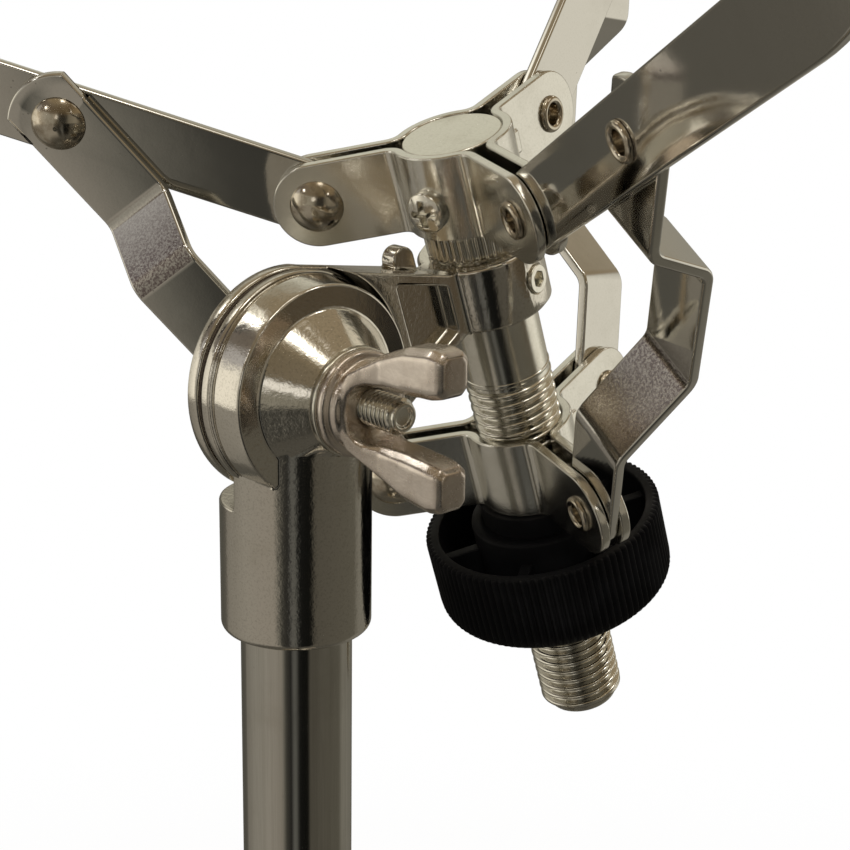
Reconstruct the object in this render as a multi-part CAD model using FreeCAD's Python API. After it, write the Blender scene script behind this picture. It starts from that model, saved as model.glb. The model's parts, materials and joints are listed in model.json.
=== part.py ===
import FreeCAD, Part
import math
import os

# Snare drum stand: tripod, height tube, friction tilter and three-arm basket.
# Millimetres, +Z up, origin on the floor under the tube. The tilter's axis runs along Y, with the wing nut
# towards -Y, and the basket rod stands off towards +X.

Vector = FreeCAD.Vector
ORIGIN = Vector(0, 0, 0)
X_AXIS = Vector(1, 0, 0)
Y_AXIS = Vector(0, 1, 0)
Z_AXIS = Vector(0, 0, 1)
FULL_TURN = 360.0
ARM_COUNT = 3
ARM_STEP = FULL_TURN / ARM_COUNT

# Gaps
RUNNING_GAP = 0.08          # radial gap of a shaft in its bore
FACE_GAP = 0.12             # side gap of a bar in its fork
CLEAR_GAP = 0.6             # open space between castings that turn past each other
OVERRUN = 4.0               # how far a cut passes the face that it opens

# Height tube and base tube
TUBE_DIAMETER = 19.05
TUBE_WALL = 1.2
TUBE_LENGTH = 265.0
TUBE_LIFT = 67.5            # base plug's top up to the tube plug
TUBE_PLUG_LENGTH = 16.0
TUBE_PLUG_FLANGE = 2.5
BASE_DIAMETER = 25.4
BASE_WALL = 1.6
BASE_LENGTH = 216.0
BASE_BOTTOM = 134.0         # height of the base tube's lower end
BASE_PLUG_LENGTH = 12.0
BASE_PLUG_FLANGE = 5.0
BUSH_LENGTH = 45.0
BUSH_FLANGE = 3.0

# Tilter: places along its axis count from the tube's middle plane towards the wing nut
SLEEVE_DIAMETER = 25.6
SLEEVE_DROP = 43.0          # tilter axis down to the sleeve's mouth
SLEEVE_EDGE = 1.6           # rounding of the sleeve's mouth
SOCKET_DEPTH = 19.0
CUP_SETBACK = 0.4           # cup's back face behind the tube's middle plane
CUP_RIM_RADIUS = 18.9
CUP_RIM_WIDTH = 2.0
CUP_GROOVE_WIDTH = 0.8
CUP_GROOVE_DEPTH = 0.8
CUP_RADIUS = 18.5
CUP_FRONT_RADIUS = 17.7
CUP_FRONT = 8.0             # place of the cup's flat front
CONE_RADIUS = 13.8
CONE_TIP_RADIUS = 8.2
CONE_FRONT = 14.6           # place of the cone's tip
FRICTION_RADIUS = 18.2
FRICTION_THICKNESS = 0.8
DISC_RADIUS = 19.1
DISC_THICKNESS = 2.8
DISC_EDGE = 0.5
BACK_BOSS_RADIUS = 10.0
BACK_BOSS_HEIGHT = 2.5
BOLT_RADIUS = 3.0
BOLT_PITCH = 1.0
BOLT_THREAD_DEPTH = 0.55
BOLT_THREAD_LENGTH = 14.0
BOLT_END = 27.3             # place of the bolt's front end
BOLT_TIP = 1.0              # height of the bolt's rounded tip
BOLT_HEAD_RADIUS = 6.5
BOLT_HEAD_HEIGHT = 3.6
NUT_WASHER_RADIUS = 9.05
NUT_WASHER_THICKNESS = 1.5

# Wings of the nut and of the wing bolts
NUT_FLANGE_RADIUS = 8.8
NUT_FLANGE_HEIGHT = 1.7
NUT_BASE_RADIUS = 7.4
NUT_TOP_RADIUS = 6.2
NUT_BODY_HEIGHT = 3.5
NUT_WING_HEIGHT = 23.0
NUT_WING_REACH = 13.5
NUT_WING_THICKNESS = 7.0
SCREW_BASE_RADIUS = 7.0
SCREW_BODY_HEIGHT = 9.0
SCREW_WING_HEIGHT = 20.0
SCREW_WING_REACH = 17.0
SCREW_WING_THICKNESS = 6.4
SCREW_RADIUS = 4.0
SCREW_PITCH = 1.25
SCREW_THREAD_DEPTH = 0.65
SCREW_STAND_OFF = 6.0       # bare thread between the wings and the boss
# height and reach of a wing's corners, as shares of the wing's height and reach
WING_OUTLINE_SHARES = ((0.06, 0.28), (0.55, 0.34), (0.96, 0.42), (1.0, 0.50), (1.0, 0.86), (0.94, 0.97),
                       (0.76, 1.0), (0.54, 0.95), (0.24, 0.77), (0.06, 0.58))
WING_FLAT_SHARE = 0.45      # full-size middle of a wing's thickness
WING_BEVEL_SHARE = 0.68     # size of a wing's side face against its middle

# Tilter arm and basket rod: heights count along the rod from the level of the tilter's axis
BASKET_LEAN = 18.5          # degrees, rod's top leans over the tube
ROD_OFFSET = 44.4           # tilter axis to rod axis
COLLAR_RADIUS = 11.0
COLLAR_HEIGHT = 12.2
COLLAR_MIDDLE = -2.0        # height of the collar's middle
COLLAR_EDGE = 0.7
COLLAR_SCREW_RADIUS = 2.5
COLLAR_SCREW_PROUD = 0.4
COLLAR_SCREW_SOCKET = 2.6   # across the flats of its key socket
COLLAR_SCREW_ANGLE = -77.0
WEB_WIDTH = 9.0
WEB_BACK_INSET = 3.4        # web's back behind the disc's friction face, next to the disc
WEB_POCKET_DEPTH = 3.0
TILT_UNDER_LEVEL = 10.0     # degrees that the web leaves free under the sleeve's side
WEB_RIM = 2.2               # rim left round the web's pockets
LUG_RADIUS = 2.4
LUG_WIDTH = 3.4
LUG_HEIGHT = 1.6            # web's top edge up to the lug's round end
LUG_REACH = 28.8            # tilter axis to the lug
ROD_RADIUS = 7.83
ROD_LENGTH = 120.6
ROD_HEAD_RADIUS = 8.8       # inside the upper hub
ROD_HEAD_EDGE = 0.4
ROD_HEAD_DROP = 0.2         # upper hub's top down to the rod's top
KNURL_LENGTH = 5.7
KNURL_RADIUS = 8.9
KNURL_DEPTH = 0.55
KNURL_COUNT = 40
THREAD_RADIUS = 7.97
THREAD_LENGTH = 75.4
THREAD_PITCH = 2.0
THREAD_DEPTH = 1.15
ROD_END_ROUND = 2.4

# Hub plates, arms and struts
HUB_WIDTH = 15.4            # height of the hub plates
HUB_SHEET = 1.8
HUB_BEND = 2.5              # inner radius of the plates' bends
HUB_TAB_HEIGHT = 4.2
HUB_TAB_LENGTH = 2.4
HUB_TAB_PROUD = 0.5
RIVET_CIRCLE = 25.4         # rod axis to the hub rivets
FIRST_ARM_ANGLE = 132.0     # direction of the first arm about the rod
LOWER_HUB_DROP = 57.0       # between the middles of the two hubs
BAR_WIDTH = 13.2
BAR_THICKNESS = 2.0
ARM_RISE = 30.5             # degrees
ARM_REACH = 158.0           # hub rivet to the outer face of the hook
ARM_STRUT_REACH = 46.25     # hub rivet to the strut's rivet
HOOK_HEIGHT = 64.0          # arm's middle line to the hook's top
HOOK_WIDTH = 11.0
HOOK_OUTER_ROUND = 56.0
HOOK_INNER_ROUND = 44.0
GRIP_WALL = 2.6
GRIP_LENGTH = 32.0         # grip's reach along the arm
STRUT_BOW = 10.7            # how far the strut's middle stands off its upper end
STRUT_BEND = 4.0
STRUT_TOP_FLAT = 20.0
STRUT_STEP = 9.3
STRUT_MIDDLE = 26.8
STRUT_RETURN = 13.0
STRUT_PIVOT_PLAY = 2.9      # room round the lower rivet, where the linkage is opened
RIVET_RADIUS = 2.5
RIVET_HEAD_RADIUS = 4.8
RIVET_HEAD_HEIGHT = 2.4
RIVET_TAIL_RADIUS = 3.3
RIVET_TAIL_PROUD = 0.9
RIVET_BORE_RADIUS = 1.9
RIVET_BORE_DEPTH = 2.4
HUB_SCREW_RADIUS = 2.0
HUB_SCREW_HEAD_RADIUS = 3.7
HUB_SCREW_HEAD_HEIGHT = 2.2
HUB_SCREW_CROWN = 0.8       # height of the head's domed top
HUB_SCREW_DROP = 1.8        # upper hub's middle down to the screw
HUB_SCREW_DEPTH = 4.0       # shank's length in the rod
HUB_SCREW_SLOT_WIDTH = 1.1
HUB_SCREW_SLOT_LENGTH = 4.8
HUB_SCREW_SLOT_DEPTH = 1.5

# Knob under the lower hub
KNOB_RADIUS = 22.4
KNOB_RIB_DEPTH = 0.7
KNOB_RIB_COUNT = 100
KNOB_HEIGHT = 16.3
KNOB_RIM_DROP = 5.8         # lower hub down to the knob's rim
KNOB_WALL = 2.6
KNOB_FLOOR = 5.0
KNOB_BOSS_RADIUS = 13.2
KNOB_BOSS_PROUD = 1.6       # boss above the rim
KNOB_TOP_EDGE = 0.8
KNOB_BOTTOM_EDGE = 2.2
KNOB_SPOKE_COUNT = 6
KNOB_SPOKE_WIDTH = 2.2
KNOB_SPOKE_DROP = 2.4       # rim down to the spokes' top
INSERT_RADIUS = 10.8

# Height collar on top of the base tube
HEIGHT_COLLAR_RADIUS = 18.5
HEIGHT_COLLAR_BELOW = 22.0  # base tube's top down to the collar's lower face
HEIGHT_COLLAR_ABOVE = 22.0
HEIGHT_COLLAR_EDGE = 1.5
HEIGHT_BOLT_RISE = 12.0     # base tube's top up to the wing bolt
HEIGHT_BOLT_ANGLE = 270.0
CLAMP_BOSS_RADIUS = 7.5
CLAMP_BOSS_REACH = 25.0     # tube axis to the boss's face

# Tripod
LEG_COUNT = 3
LEG_STEP = FULL_TURN / LEG_COUNT
LEG_PIVOT_HEIGHT = 205.0
LEG_PIVOT_RADIUS = 27.0
STANCE_RADIUS = 225.0       # tube axis to the end of a leg
STANCE_HEIGHT = 10.0        # height of that end
BRACE_REACH = 50.0          # leg pivot to the brace's rivet
BRACE_PIVOT_HEIGHT = 150.0
TRIPOD_COLLAR_RADIUS = 19.0
TRIPOD_COLLAR_BELOW = 10.0  # leg pivots down to the collar's lower face
TRIPOD_COLLAR_ABOVE = 22.0
TRIPOD_COLLAR_EDGE = 1.5
TRIPOD_BOLT_RISE = 12.0     # leg pivots up to the wing bolt
TRIPOD_BOLT_ANGLE = 180.0
TONGUE_RADIUS = 5.2
HUB_BODY_RADIUS = 17.6
HUB_BODY_HEIGHT = 20.0
HUB_BODY_EDGE = 1.2
LEG_WIDTH = 16.0
LEG_DEPTH = 11.0
LEG_SHEET = 1.5
LEG_WEB_START = 9.0         # pivot to the start of the channel's web
BRACE_DEPTH = 7.6
BRACE_SHEET = 1.3
BRACE_WEB_START = 11.0
LEG_RIVET_RADIUS = 2.5
LEG_RIVET_HEAD_RADIUS = 3.7
LEG_RIVET_HEAD_HEIGHT = 1.7
FOOT_RADIUS = 12.5
FOOT_LENGTH = 34.0
FOOT_PAST_LEG = 14.0        # foot beyond the leg's end, before its sole is cut
FOOT_EDGE = 3.0
FOOT_RING_WIDTH = 3.0
FOOT_RING_DEPTH = 1.2
HUB_PIN_RADIUS = 2.0
HUB_PIN_ANGLE = 60.0

# Sizes that follow from the ones above
tube_radius = TUBE_DIAMETER / 2
tube_bore = tube_radius - TUBE_WALL
tube_bottom = BASE_BOTTOM + BASE_PLUG_LENGTH + TUBE_LIFT + TUBE_PLUG_FLANGE
tube_top = tube_bottom + TUBE_LENGTH
tilter_height = tube_top - SOCKET_DEPTH + SLEEVE_DROP
sleeve_radius = SLEEVE_DIAMETER / 2
base_radius = BASE_DIAMETER / 2
base_bore = base_radius - BASE_WALL
base_top = BASE_BOTTOM + BASE_LENGTH
friction_back = -CUP_SETBACK - FRICTION_THICKNESS
disc_back = friction_back - DISC_THICKNESS
boss_back = disc_back - BACK_BOSS_HEIGHT
nut_washer_front = CONE_FRONT + NUT_WASHER_THICKNESS
collar_top = COLLAR_MIDDLE + COLLAR_HEIGHT / 2
upper_hub = collar_top + KNURL_LENGTH + HUB_WIDTH / 2
lower_hub = upper_hub - LOWER_HUB_DROP
rod_top = upper_hub + HUB_WIDTH / 2 - ROD_HEAD_DROP
rod_bottom = rod_top - ROD_LENGTH
lower_hub_bore = THREAD_RADIUS + RUNNING_GAP
fork_half = BAR_THICKNESS / 2 + FACE_GAP
ear_face = fork_half + HUB_SHEET
bar_half = BAR_WIDTH / 2
knob_rim = lower_hub - HUB_WIDTH / 2 - KNOB_RIM_DROP
arm_tip_run = ARM_STRUT_REACH * math.cos(math.radians(ARM_RISE))
arm_tip_rise = ARM_STRUT_REACH * math.sin(math.radians(ARM_RISE))
strut_run = -arm_tip_run
strut_fall = LOWER_HUB_DROP + arm_tip_rise
strut_length = math.hypot(strut_run, strut_fall)
strut_angle = math.degrees(math.atan2(strut_fall, strut_run))
leg_run = STANCE_RADIUS - LEG_PIVOT_RADIUS
leg_fall = LEG_PIVOT_HEIGHT - STANCE_HEIGHT
leg_length = math.hypot(leg_run, leg_fall)
leg_angle = math.degrees(math.atan2(leg_fall, leg_run))
brace_top_radius = LEG_PIVOT_RADIUS + BRACE_REACH * leg_run / leg_length
brace_top_height = LEG_PIVOT_HEIGHT - BRACE_REACH * leg_fall / leg_length
brace_run = LEG_PIVOT_RADIUS - brace_top_radius
brace_fall = brace_top_height - BRACE_PIVOT_HEIGHT
brace_length = math.hypot(brace_run, brace_fall)
brace_angle = math.degrees(math.atan2(brace_fall, brace_run))
leg_inner_width = LEG_WIDTH - 2 * LEG_SHEET
brace_width = leg_inner_width - 2 * FACE_GAP
brace_inner_width = brace_width - 2 * BRACE_SHEET


# Shape helpers
def outline(profile):
    """Closed wire in the XZ plane. A pair of points in the profile is an arc: its middle and its end."""
    start = Vector(profile[0][0], 0, profile[0][1])
    here = start
    edges = []
    for step in profile[1:]:
        if isinstance(step[0], tuple):
            middle, end = (Vector(across, 0, up) for across, up in step)
            edges.append(Part.Arc(here, middle, end).toShape())
        else:
            end = Vector(step[0], 0, step[1])
            edges.append(Part.LineSegment(here, end).toShape())
        here = end
    if not here.isEqual(start, Part.Precision.confusion()):
        edges.append(Part.LineSegment(here, start).toShape())
    return Part.Wire(edges)


def turned(profile):
    """Solid of revolution about +Z; the profile's points are radius and height."""
    return Part.Face(outline(profile)).revolve(ORIGIN, Z_AXIS, FULL_TURN)


def plate(profile, thickness):
    """Flat plate in the XZ plane, centred on Y = 0."""
    flat = Part.Face(outline(profile)).translated(Vector(0, -thickness / 2, 0))
    return flat.extrude(Vector(0, thickness, 0))


def disc(radius, low, high):
    return Part.makeCylinder(radius, high - low, Vector(0, 0, low))


def tube(outer, inner, low, high):
    return disc(outer, low, high).cut(disc(inner, low - OVERRUN, high + OVERRUN))


def cross_pin(radius, width, along=0.0, up=0.0):
    """Cylinder along Y, centred on Y = 0."""
    return Part.makeCylinder(radius, width, Vector(along, -width / 2, up), Y_AXIS)


def block(low, high):
    size = high - low
    return Part.makeBox(size.x, size.y, size.z, low)


def joined(first, *others):
    return first.fuse(list(others)).removeSplitter()


def sector(outer, inner, height, start, sweep):
    """Piece of a ring about +Z, centred on Z = 0."""
    foot = Vector(0, 0, -height / 2)
    ring = Part.makeCylinder(outer, height, foot, Z_AXIS, sweep)
    core = disc(inner, -height / 2 - OVERRUN, height / 2 + OVERRUN)
    return ring.cut(core).rotated(ORIGIN, Z_AXIS, start)


def quarter(centre, radius, start, end):
    """Start point and arc step for an outline: a quarter round between two directions, in degrees."""
    def rim(angle):
        turn = math.radians(angle)
        return (centre[0] + radius * math.cos(turn), centre[1] + radius * math.sin(turn))

    return rim(start), (rim((start + end) / 2), rim(end))


def dome_arc(radius, foot, height):
    """Arc step for an outline: a spherical dome from its rim to its top; a negative height points down."""
    rise = abs(height)
    sphere = (radius ** 2 + rise ** 2) / (2 * rise)
    half_angle = math.asin(radius / sphere) / 2
    crown_rise = rise - sphere * (1 - math.cos(half_angle))
    return (sphere * math.sin(half_angle), foot + math.copysign(crown_rise, height)), (0, foot + height)


def ribbed_disc(radius, depth, count, low, high):
    """Disc with V-shaped ribs along its rim."""
    corners = []
    for corner in range(2 * count):
        angle = math.pi * corner / count
        reach = radius - depth * (corner % 2)
        corners.append(Vector(reach * math.cos(angle), reach * math.sin(angle), low))
    rim = Part.makePolygon(corners + corners[:1])
    return Part.Face(rim).extrude(Vector(0, 0, high - low))


def threaded(radius, depth, pitch, low, high):
    """Rod along +Z whose thread is drawn as V rings."""
    turns = max(1, round((high - low) / pitch))
    step = (high - low) / turns
    profile = [(0, low), (radius - depth, low)]
    for turn in range(turns):
        profile.append((radius, low + (turn + 0.5) * step))
        profile.append((radius - depth, low + (turn + 1) * step))
    profile.append((0, high))
    return turned(profile)


def bent_strip(points, thickness, bend, width):
    """Strip of sheet that follows points in the XY plane, with rounded bends, centred on Z = 0."""
    sides = []
    for offset in (thickness / 2, -thickness / 2):
        steps = []
        for index, point in enumerate(points):
            if index in (0, len(points) - 1):
                ahead = (points[1] - points[0]) if index == 0 else (points[-1] - points[-2])
                ahead.normalize()
                steps.append(point + Vector(-ahead.y, ahead.x, 0) * offset)
                continue
            before = (point - points[index - 1]).normalize()
            after = (points[index + 1] - point).normalize()
            turn = math.atan2(before.cross(after).z, before.dot(after))
            hand = math.copysign(1, turn)
            setback = bend * math.tan(abs(turn) / 2)
            left_before = Vector(-before.y, before.x, 0)
            left_after = Vector(-after.y, after.x, 0)
            first = point - before * setback
            last = point + after * setback
            centre = first + left_before * (hand * bend)
            outward = (point - centre).normalize()
            middle = centre + outward * (bend - hand * offset)
            steps.append((first + left_before * offset, middle, last + left_after * offset))
        sides.append(steps)
    left, right = sides
    path = left + [step[::-1] if isinstance(step, tuple) else step for step in right[::-1]]
    edges = []
    here = path[0]
    for step in path[1:]:
        if isinstance(step, tuple):
            edges.append(Part.LineSegment(here, step[0]).toShape())
            edges.append(Part.Arc(*step).toShape())
            here = step[2]
        else:
            edges.append(Part.LineSegment(here, step).toShape())
            here = step
    edges.append(Part.LineSegment(here, path[0]).toShape())
    face = Part.Face(Part.Wire(edges)).translated(Vector(0, 0, -width / 2))
    return face.extrude(Vector(0, 0, width))


def stadium(length, half_width, thickness):
    """Flat bar along +X with round ends about X = 0 and X = length."""
    return plate([(0, -half_width), (length, -half_width), ((length + half_width, 0), (length, half_width)),
                  (0, half_width), ((-half_width, 0), (0, -half_width))], thickness)


# Placing helpers
def along_tilter(shape):
    """From +Z to the tilter's axis, at its height."""
    return shape.rotated(ORIGIN, X_AXIS, FULL_TURN / 4).translated(Vector(0, 0, tilter_height))


def in_basket(shape):
    """From the upright basket, whose tilter axis is at the origin, to its leaning place."""
    return shape.rotated(ORIGIN, Y_AXIS, -BASKET_LEAN).translated(Vector(0, 0, tilter_height))


def on_rod(shape, height):
    """From the rod's own axis to the leaning basket, at a height along the rod."""
    return in_basket(shape.translated(Vector(ROD_OFFSET, 0, height)))


def arm_angle(index):
    return FIRST_ARM_ANGLE + index * ARM_STEP


def at_arm(shape, index, height):
    """From an arm's radial plane (X outward, Z along the rod) to the arm's place on the leaning basket."""
    return on_rod(shape.rotated(ORIGIN, Z_AXIS, arm_angle(index)), height)


def at_leg(shape, index):
    return shape.rotated(ORIGIN, Z_AXIS, index * LEG_STEP)


def sideways(shape, angle, height):
    """From +Z to a level direction, at a height on the tube."""
    level = shape.rotated(ORIGIN, Y_AXIS, FULL_TURN / 4).rotated(ORIGIN, Z_AXIS, angle)
    return level.translated(Vector(0, 0, height))


# Height tube and base tube
def upper_tube():
    return tube(tube_radius, tube_bore, tube_bottom, tube_top)


def tube_plug():
    stem = disc(tube_bore, tube_bottom, tube_bottom + TUBE_PLUG_LENGTH)
    flange = disc(tube_radius, tube_bottom - TUBE_PLUG_FLANGE, tube_bottom)
    return joined(stem, flange)


def base_tube():
    return tube(base_radius, base_bore, BASE_BOTTOM, base_top)


def base_plug():
    stem = disc(base_bore, BASE_BOTTOM, BASE_BOTTOM + BASE_PLUG_LENGTH)
    flange = disc(base_radius, BASE_BOTTOM - BASE_PLUG_FLANGE, BASE_BOTTOM)
    return joined(stem, flange)


def guide_bush():
    body = tube(base_bore - RUNNING_GAP, tube_radius + RUNNING_GAP, base_top - BUSH_LENGTH, base_top)
    flange = tube(base_radius, tube_radius + RUNNING_GAP, base_top, base_top + BUSH_FLANGE)
    return joined(body, flange)


# Wings
def wings(height, reach, thickness):
    """Two thick bevelled wings that rise along +Z, spread along X."""
    full = [(reach * out, height * up) for up, out in WING_OUTLINE_SHARES]
    middle_x = sum(x for x, z in full) / len(full)
    middle_z = sum(z for x, z in full) / len(full)

    def section(size, place):
        corners = []
        for x, z in full:
            corners.append(Vector(middle_x + (x - middle_x) * size, place, middle_z + (z - middle_z) * size))
        return Part.makePolygon(corners + corners[:1])

    flat = thickness * WING_FLAT_SHARE / 2
    sections = [section(WING_BEVEL_SHARE, -thickness / 2), section(1, -flat), section(1, flat),
                section(WING_BEVEL_SHARE, thickness / 2)]
    wing = Part.makeLoft(sections, True, True)
    return wing, wing.rotated(ORIGIN, Z_AXIS, FULL_TURN / 2)


def wing_nut():
    body = turned([(0, 0), (NUT_FLANGE_RADIUS, 0), (NUT_FLANGE_RADIUS, NUT_FLANGE_HEIGHT),
                   (NUT_BASE_RADIUS, NUT_FLANGE_HEIGHT), (NUT_TOP_RADIUS, NUT_BODY_HEIGHT),
                   (0, NUT_BODY_HEIGHT)])
    solid = joined(body, *wings(NUT_WING_HEIGHT, NUT_WING_REACH, NUT_WING_THICKNESS))
    solid = solid.cut(disc(BOLT_RADIUS + RUNNING_GAP, -OVERRUN, NUT_WING_HEIGHT + OVERRUN))
    upright = solid.rotated(ORIGIN, Z_AXIS, FULL_TURN / 4)
    return along_tilter(upright.translated(Vector(0, 0, nut_washer_front)))


def wing_bolt(shank, angle, height, face):
    """Wing bolt that points at the tube; its wings start at a distance from the tube's axis."""
    body = turned([(0, 0), (SCREW_BASE_RADIUS, 0), (SCREW_BASE_RADIUS, SCREW_BODY_HEIGHT / 2),
                   (SCREW_RADIUS, SCREW_BODY_HEIGHT), (0, SCREW_BODY_HEIGHT)])
    stem = threaded(SCREW_RADIUS, SCREW_THREAD_DEPTH, SCREW_PITCH, -shank, 0)
    solid = joined(body, stem, *wings(SCREW_WING_HEIGHT, SCREW_WING_REACH, SCREW_WING_THICKNESS))
    return sideways(solid.translated(Vector(0, 0, face)), angle, height)


# Tilter
def tilter_base():
    rim_front = CUP_RIM_WIDTH - CUP_SETBACK
    groove_front = rim_front + CUP_GROOVE_WIDTH
    groove_radius = CUP_RIM_RADIUS - CUP_GROOVE_DEPTH
    cup = turned([(0, -CUP_SETBACK), (CUP_RIM_RADIUS, -CUP_SETBACK), (CUP_RIM_RADIUS, rim_front),
                  (groove_radius, rim_front), (groove_radius, groove_front), (CUP_RADIUS, groove_front),
                  (CUP_FRONT_RADIUS, CUP_FRONT), (CONE_RADIUS, CUP_FRONT), (CONE_TIP_RADIUS, CONE_FRONT),
                  (0, CONE_FRONT)])
    edge_centre = (sleeve_radius - SLEEVE_EDGE, SLEEVE_EDGE - SLEEVE_DROP)
    edge_start, edge_arc = quarter(edge_centre, SLEEVE_EDGE, -FULL_TURN / 4, 0)
    sleeve = turned([(0, -SLEEVE_DROP), edge_start, edge_arc, (sleeve_radius, 0), (0, 0)])
    shelf = -(DISC_RADIUS + CLEAR_GAP)
    room = block(Vector(-DISC_RADIUS, CUP_SETBACK, shelf), Vector(DISC_RADIUS, DISC_RADIUS, OVERRUN))
    sleeve = sleeve.cut(room).translated(Vector(0, 0, tilter_height))
    solid = joined(along_tilter(cup), sleeve)
    bolt_hole = along_tilter(disc(BOLT_RADIUS + RUNNING_GAP, -CUP_SETBACK - OVERRUN, CONE_FRONT + OVERRUN))
    socket = disc(tube_radius, tube_top - SOCKET_DEPTH - OVERRUN, tube_top)
    return solid.cut(bolt_hole).cut(socket)


def friction_washer():
    return along_tilter(tube(FRICTION_RADIUS, BOLT_RADIUS + RUNNING_GAP, friction_back, -CUP_SETBACK))


def tilter_bolt():
    thread_start = BOLT_END - BOLT_TIP - BOLT_THREAD_LENGTH
    thread = threaded(BOLT_RADIUS, BOLT_THREAD_DEPTH, BOLT_PITCH, thread_start, BOLT_END - BOLT_TIP)
    shank = disc(BOLT_RADIUS, boss_back, thread_start)
    flat_radius = BOLT_RADIUS - BOLT_THREAD_DEPTH - BOLT_TIP / 2
    tip = turned([(0, BOLT_END - BOLT_TIP), (BOLT_RADIUS - BOLT_THREAD_DEPTH, BOLT_END - BOLT_TIP),
                  (flat_radius, BOLT_END), (0, BOLT_END)])
    head = turned([(0, boss_back), (BOLT_HEAD_RADIUS, boss_back),
                   dome_arc(BOLT_HEAD_RADIUS, boss_back, -BOLT_HEAD_HEIGHT)])
    return along_tilter(joined(shank, thread, tip, head))


def nut_washer():
    return along_tilter(tube(NUT_WASHER_RADIUS, BOLT_RADIUS + RUNNING_GAP, CONE_FRONT, nut_washer_front))


def tangent_point(corner, side):
    """Where the line from a corner touches the tilter disc, above it (side 1) or below it (side -1)."""
    reach = math.hypot(*corner)
    angle = math.atan2(corner[1], corner[0]) + side * math.acos(DISC_RADIUS / reach)
    return (DISC_RADIUS * math.cos(angle), DISC_RADIUS * math.sin(angle))


def height_on_line(across, start, end):
    return start[1] + (end[1] - start[1]) * (across - start[0]) / (end[0] - start[0])


def tilter_web():
    """Tapering web from the disc to the collar, with a pocket on each side and a lug on its top edge."""
    near = ROD_OFFSET - COLLAR_RADIUS
    top_corner, low_corner = (near, collar_top), (near, collar_top - COLLAR_HEIGHT)
    top_touch, low_touch = tangent_point(top_corner, 1), tangent_point(low_corner, -1)
    web = plate([low_touch, low_corner, (ROD_OFFSET, low_corner[1]), (ROD_OFFSET, collar_top),
                 top_corner, top_touch], WEB_WIDTH)
    web_start = DISC_RADIUS + CLEAR_GAP
    face = -friction_back
    half = WEB_WIDTH / 2
    web = web.cut(Part.makeCylinder(web_start, half + face, Vector(0, -half, 0), Y_AXIS))
    web = web.cut(Part.makeCylinder(web_start, half, Vector(0, face + WEB_BACK_INSET, 0), Y_AXIS))
    sleeve_room = block(Vector(0, -half - OVERRUN, -SLEEVE_DROP), Vector(sleeve_radius + CLEAR_GAP, face, 0))
    web = web.cut(sleeve_room.rotated(ORIGIN, Y_AXIS, -TILT_UNDER_LEVEL))
    left, right = web_start + WEB_RIM, near - WEB_RIM / 2
    pocket = plate([(left, height_on_line(left, low_touch, low_corner) + WEB_RIM),
                    (right, height_on_line(right, low_touch, low_corner) + WEB_RIM),
                    (right, height_on_line(right, top_touch, top_corner) - WEB_RIM),
                    (left, height_on_line(left, top_touch, top_corner) - WEB_RIM)], WEB_WIDTH)
    shift = WEB_WIDTH - WEB_POCKET_DEPTH
    web = web.cut(pocket.translated(Vector(0, shift, 0))).cut(pocket.translated(Vector(0, -shift, 0)))
    lug_foot = height_on_line(LUG_REACH, top_touch, top_corner)
    lug_top = lug_foot + LUG_HEIGHT
    lug_near, lug_far = LUG_REACH - LUG_RADIUS, LUG_REACH + LUG_RADIUS
    lug = plate([(lug_near, lug_foot - WEB_RIM / 2), (lug_far, lug_foot - WEB_RIM), (lug_far, lug_top),
                 ((LUG_REACH, lug_top + LUG_RADIUS), (lug_near, lug_top))], LUG_WIDTH)
    return web, lug.translated(Vector(0, half - LUG_WIDTH / 2, 0))


def tilter_arm():
    back, front = disc_back, friction_back
    face = turned([(0, back), (DISC_RADIUS - DISC_EDGE, back), (DISC_RADIUS, back + DISC_EDGE),
                   (DISC_RADIUS, front - DISC_EDGE), (DISC_RADIUS - DISC_EDGE, front), (0, front)])
    boss = disc(BACK_BOSS_RADIUS, boss_back, back)
    round_part = joined(face, boss).rotated(ORIGIN, X_AXIS, FULL_TURN / 4)
    low, high = collar_top - COLLAR_HEIGHT, collar_top
    collar = ring(COLLAR_RADIUS, COLLAR_EDGE, low, high).translated(Vector(ROD_OFFSET, 0, 0))
    solid = joined(round_part, collar, *tilter_web())
    bore = disc(ROD_RADIUS, low - OVERRUN, high + OVERRUN).translated(Vector(ROD_OFFSET, 0, 0))
    bolt_hole = disc(BOLT_RADIUS + RUNNING_GAP, boss_back - OVERRUN, front + OVERRUN)
    bolt_hole = bolt_hole.rotated(ORIGIN, X_AXIS, FULL_TURN / 4)
    screw_hole = disc(COLLAR_SCREW_RADIUS, 0, COLLAR_RADIUS + OVERRUN)
    screw_hole = sideways(screw_hole, COLLAR_SCREW_ANGLE, COLLAR_MIDDLE).translated(Vector(ROD_OFFSET, 0, 0))
    solid = solid.cut(bore).cut(bolt_hole).cut(screw_hole)
    return in_basket(solid)


def hexagon(across_flats, low, high):
    reach = across_flats / math.sqrt(3)
    corners = [Vector(reach * math.cos(math.pi * side / 3), reach * math.sin(math.pi * side / 3), low)
               for side in range(6)]
    return Part.Face(Part.makePolygon(corners + corners[:1])).extrude(Vector(0, 0, high - low))


def collar_screw():
    top = COLLAR_RADIUS + COLLAR_SCREW_PROUD
    solid = disc(COLLAR_SCREW_RADIUS, ROD_RADIUS, top)
    solid = solid.cut(hexagon(COLLAR_SCREW_SOCKET, (ROD_RADIUS + top) / 2, top + OVERRUN))
    rod_core = disc(ROD_RADIUS, -COLLAR_HEIGHT, COLLAR_HEIGHT).translated(Vector(0, 0, COLLAR_MIDDLE))
    placed = sideways(solid, COLLAR_SCREW_ANGLE, COLLAR_MIDDLE).cut(rod_core)
    return on_rod(placed, 0)


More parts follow.
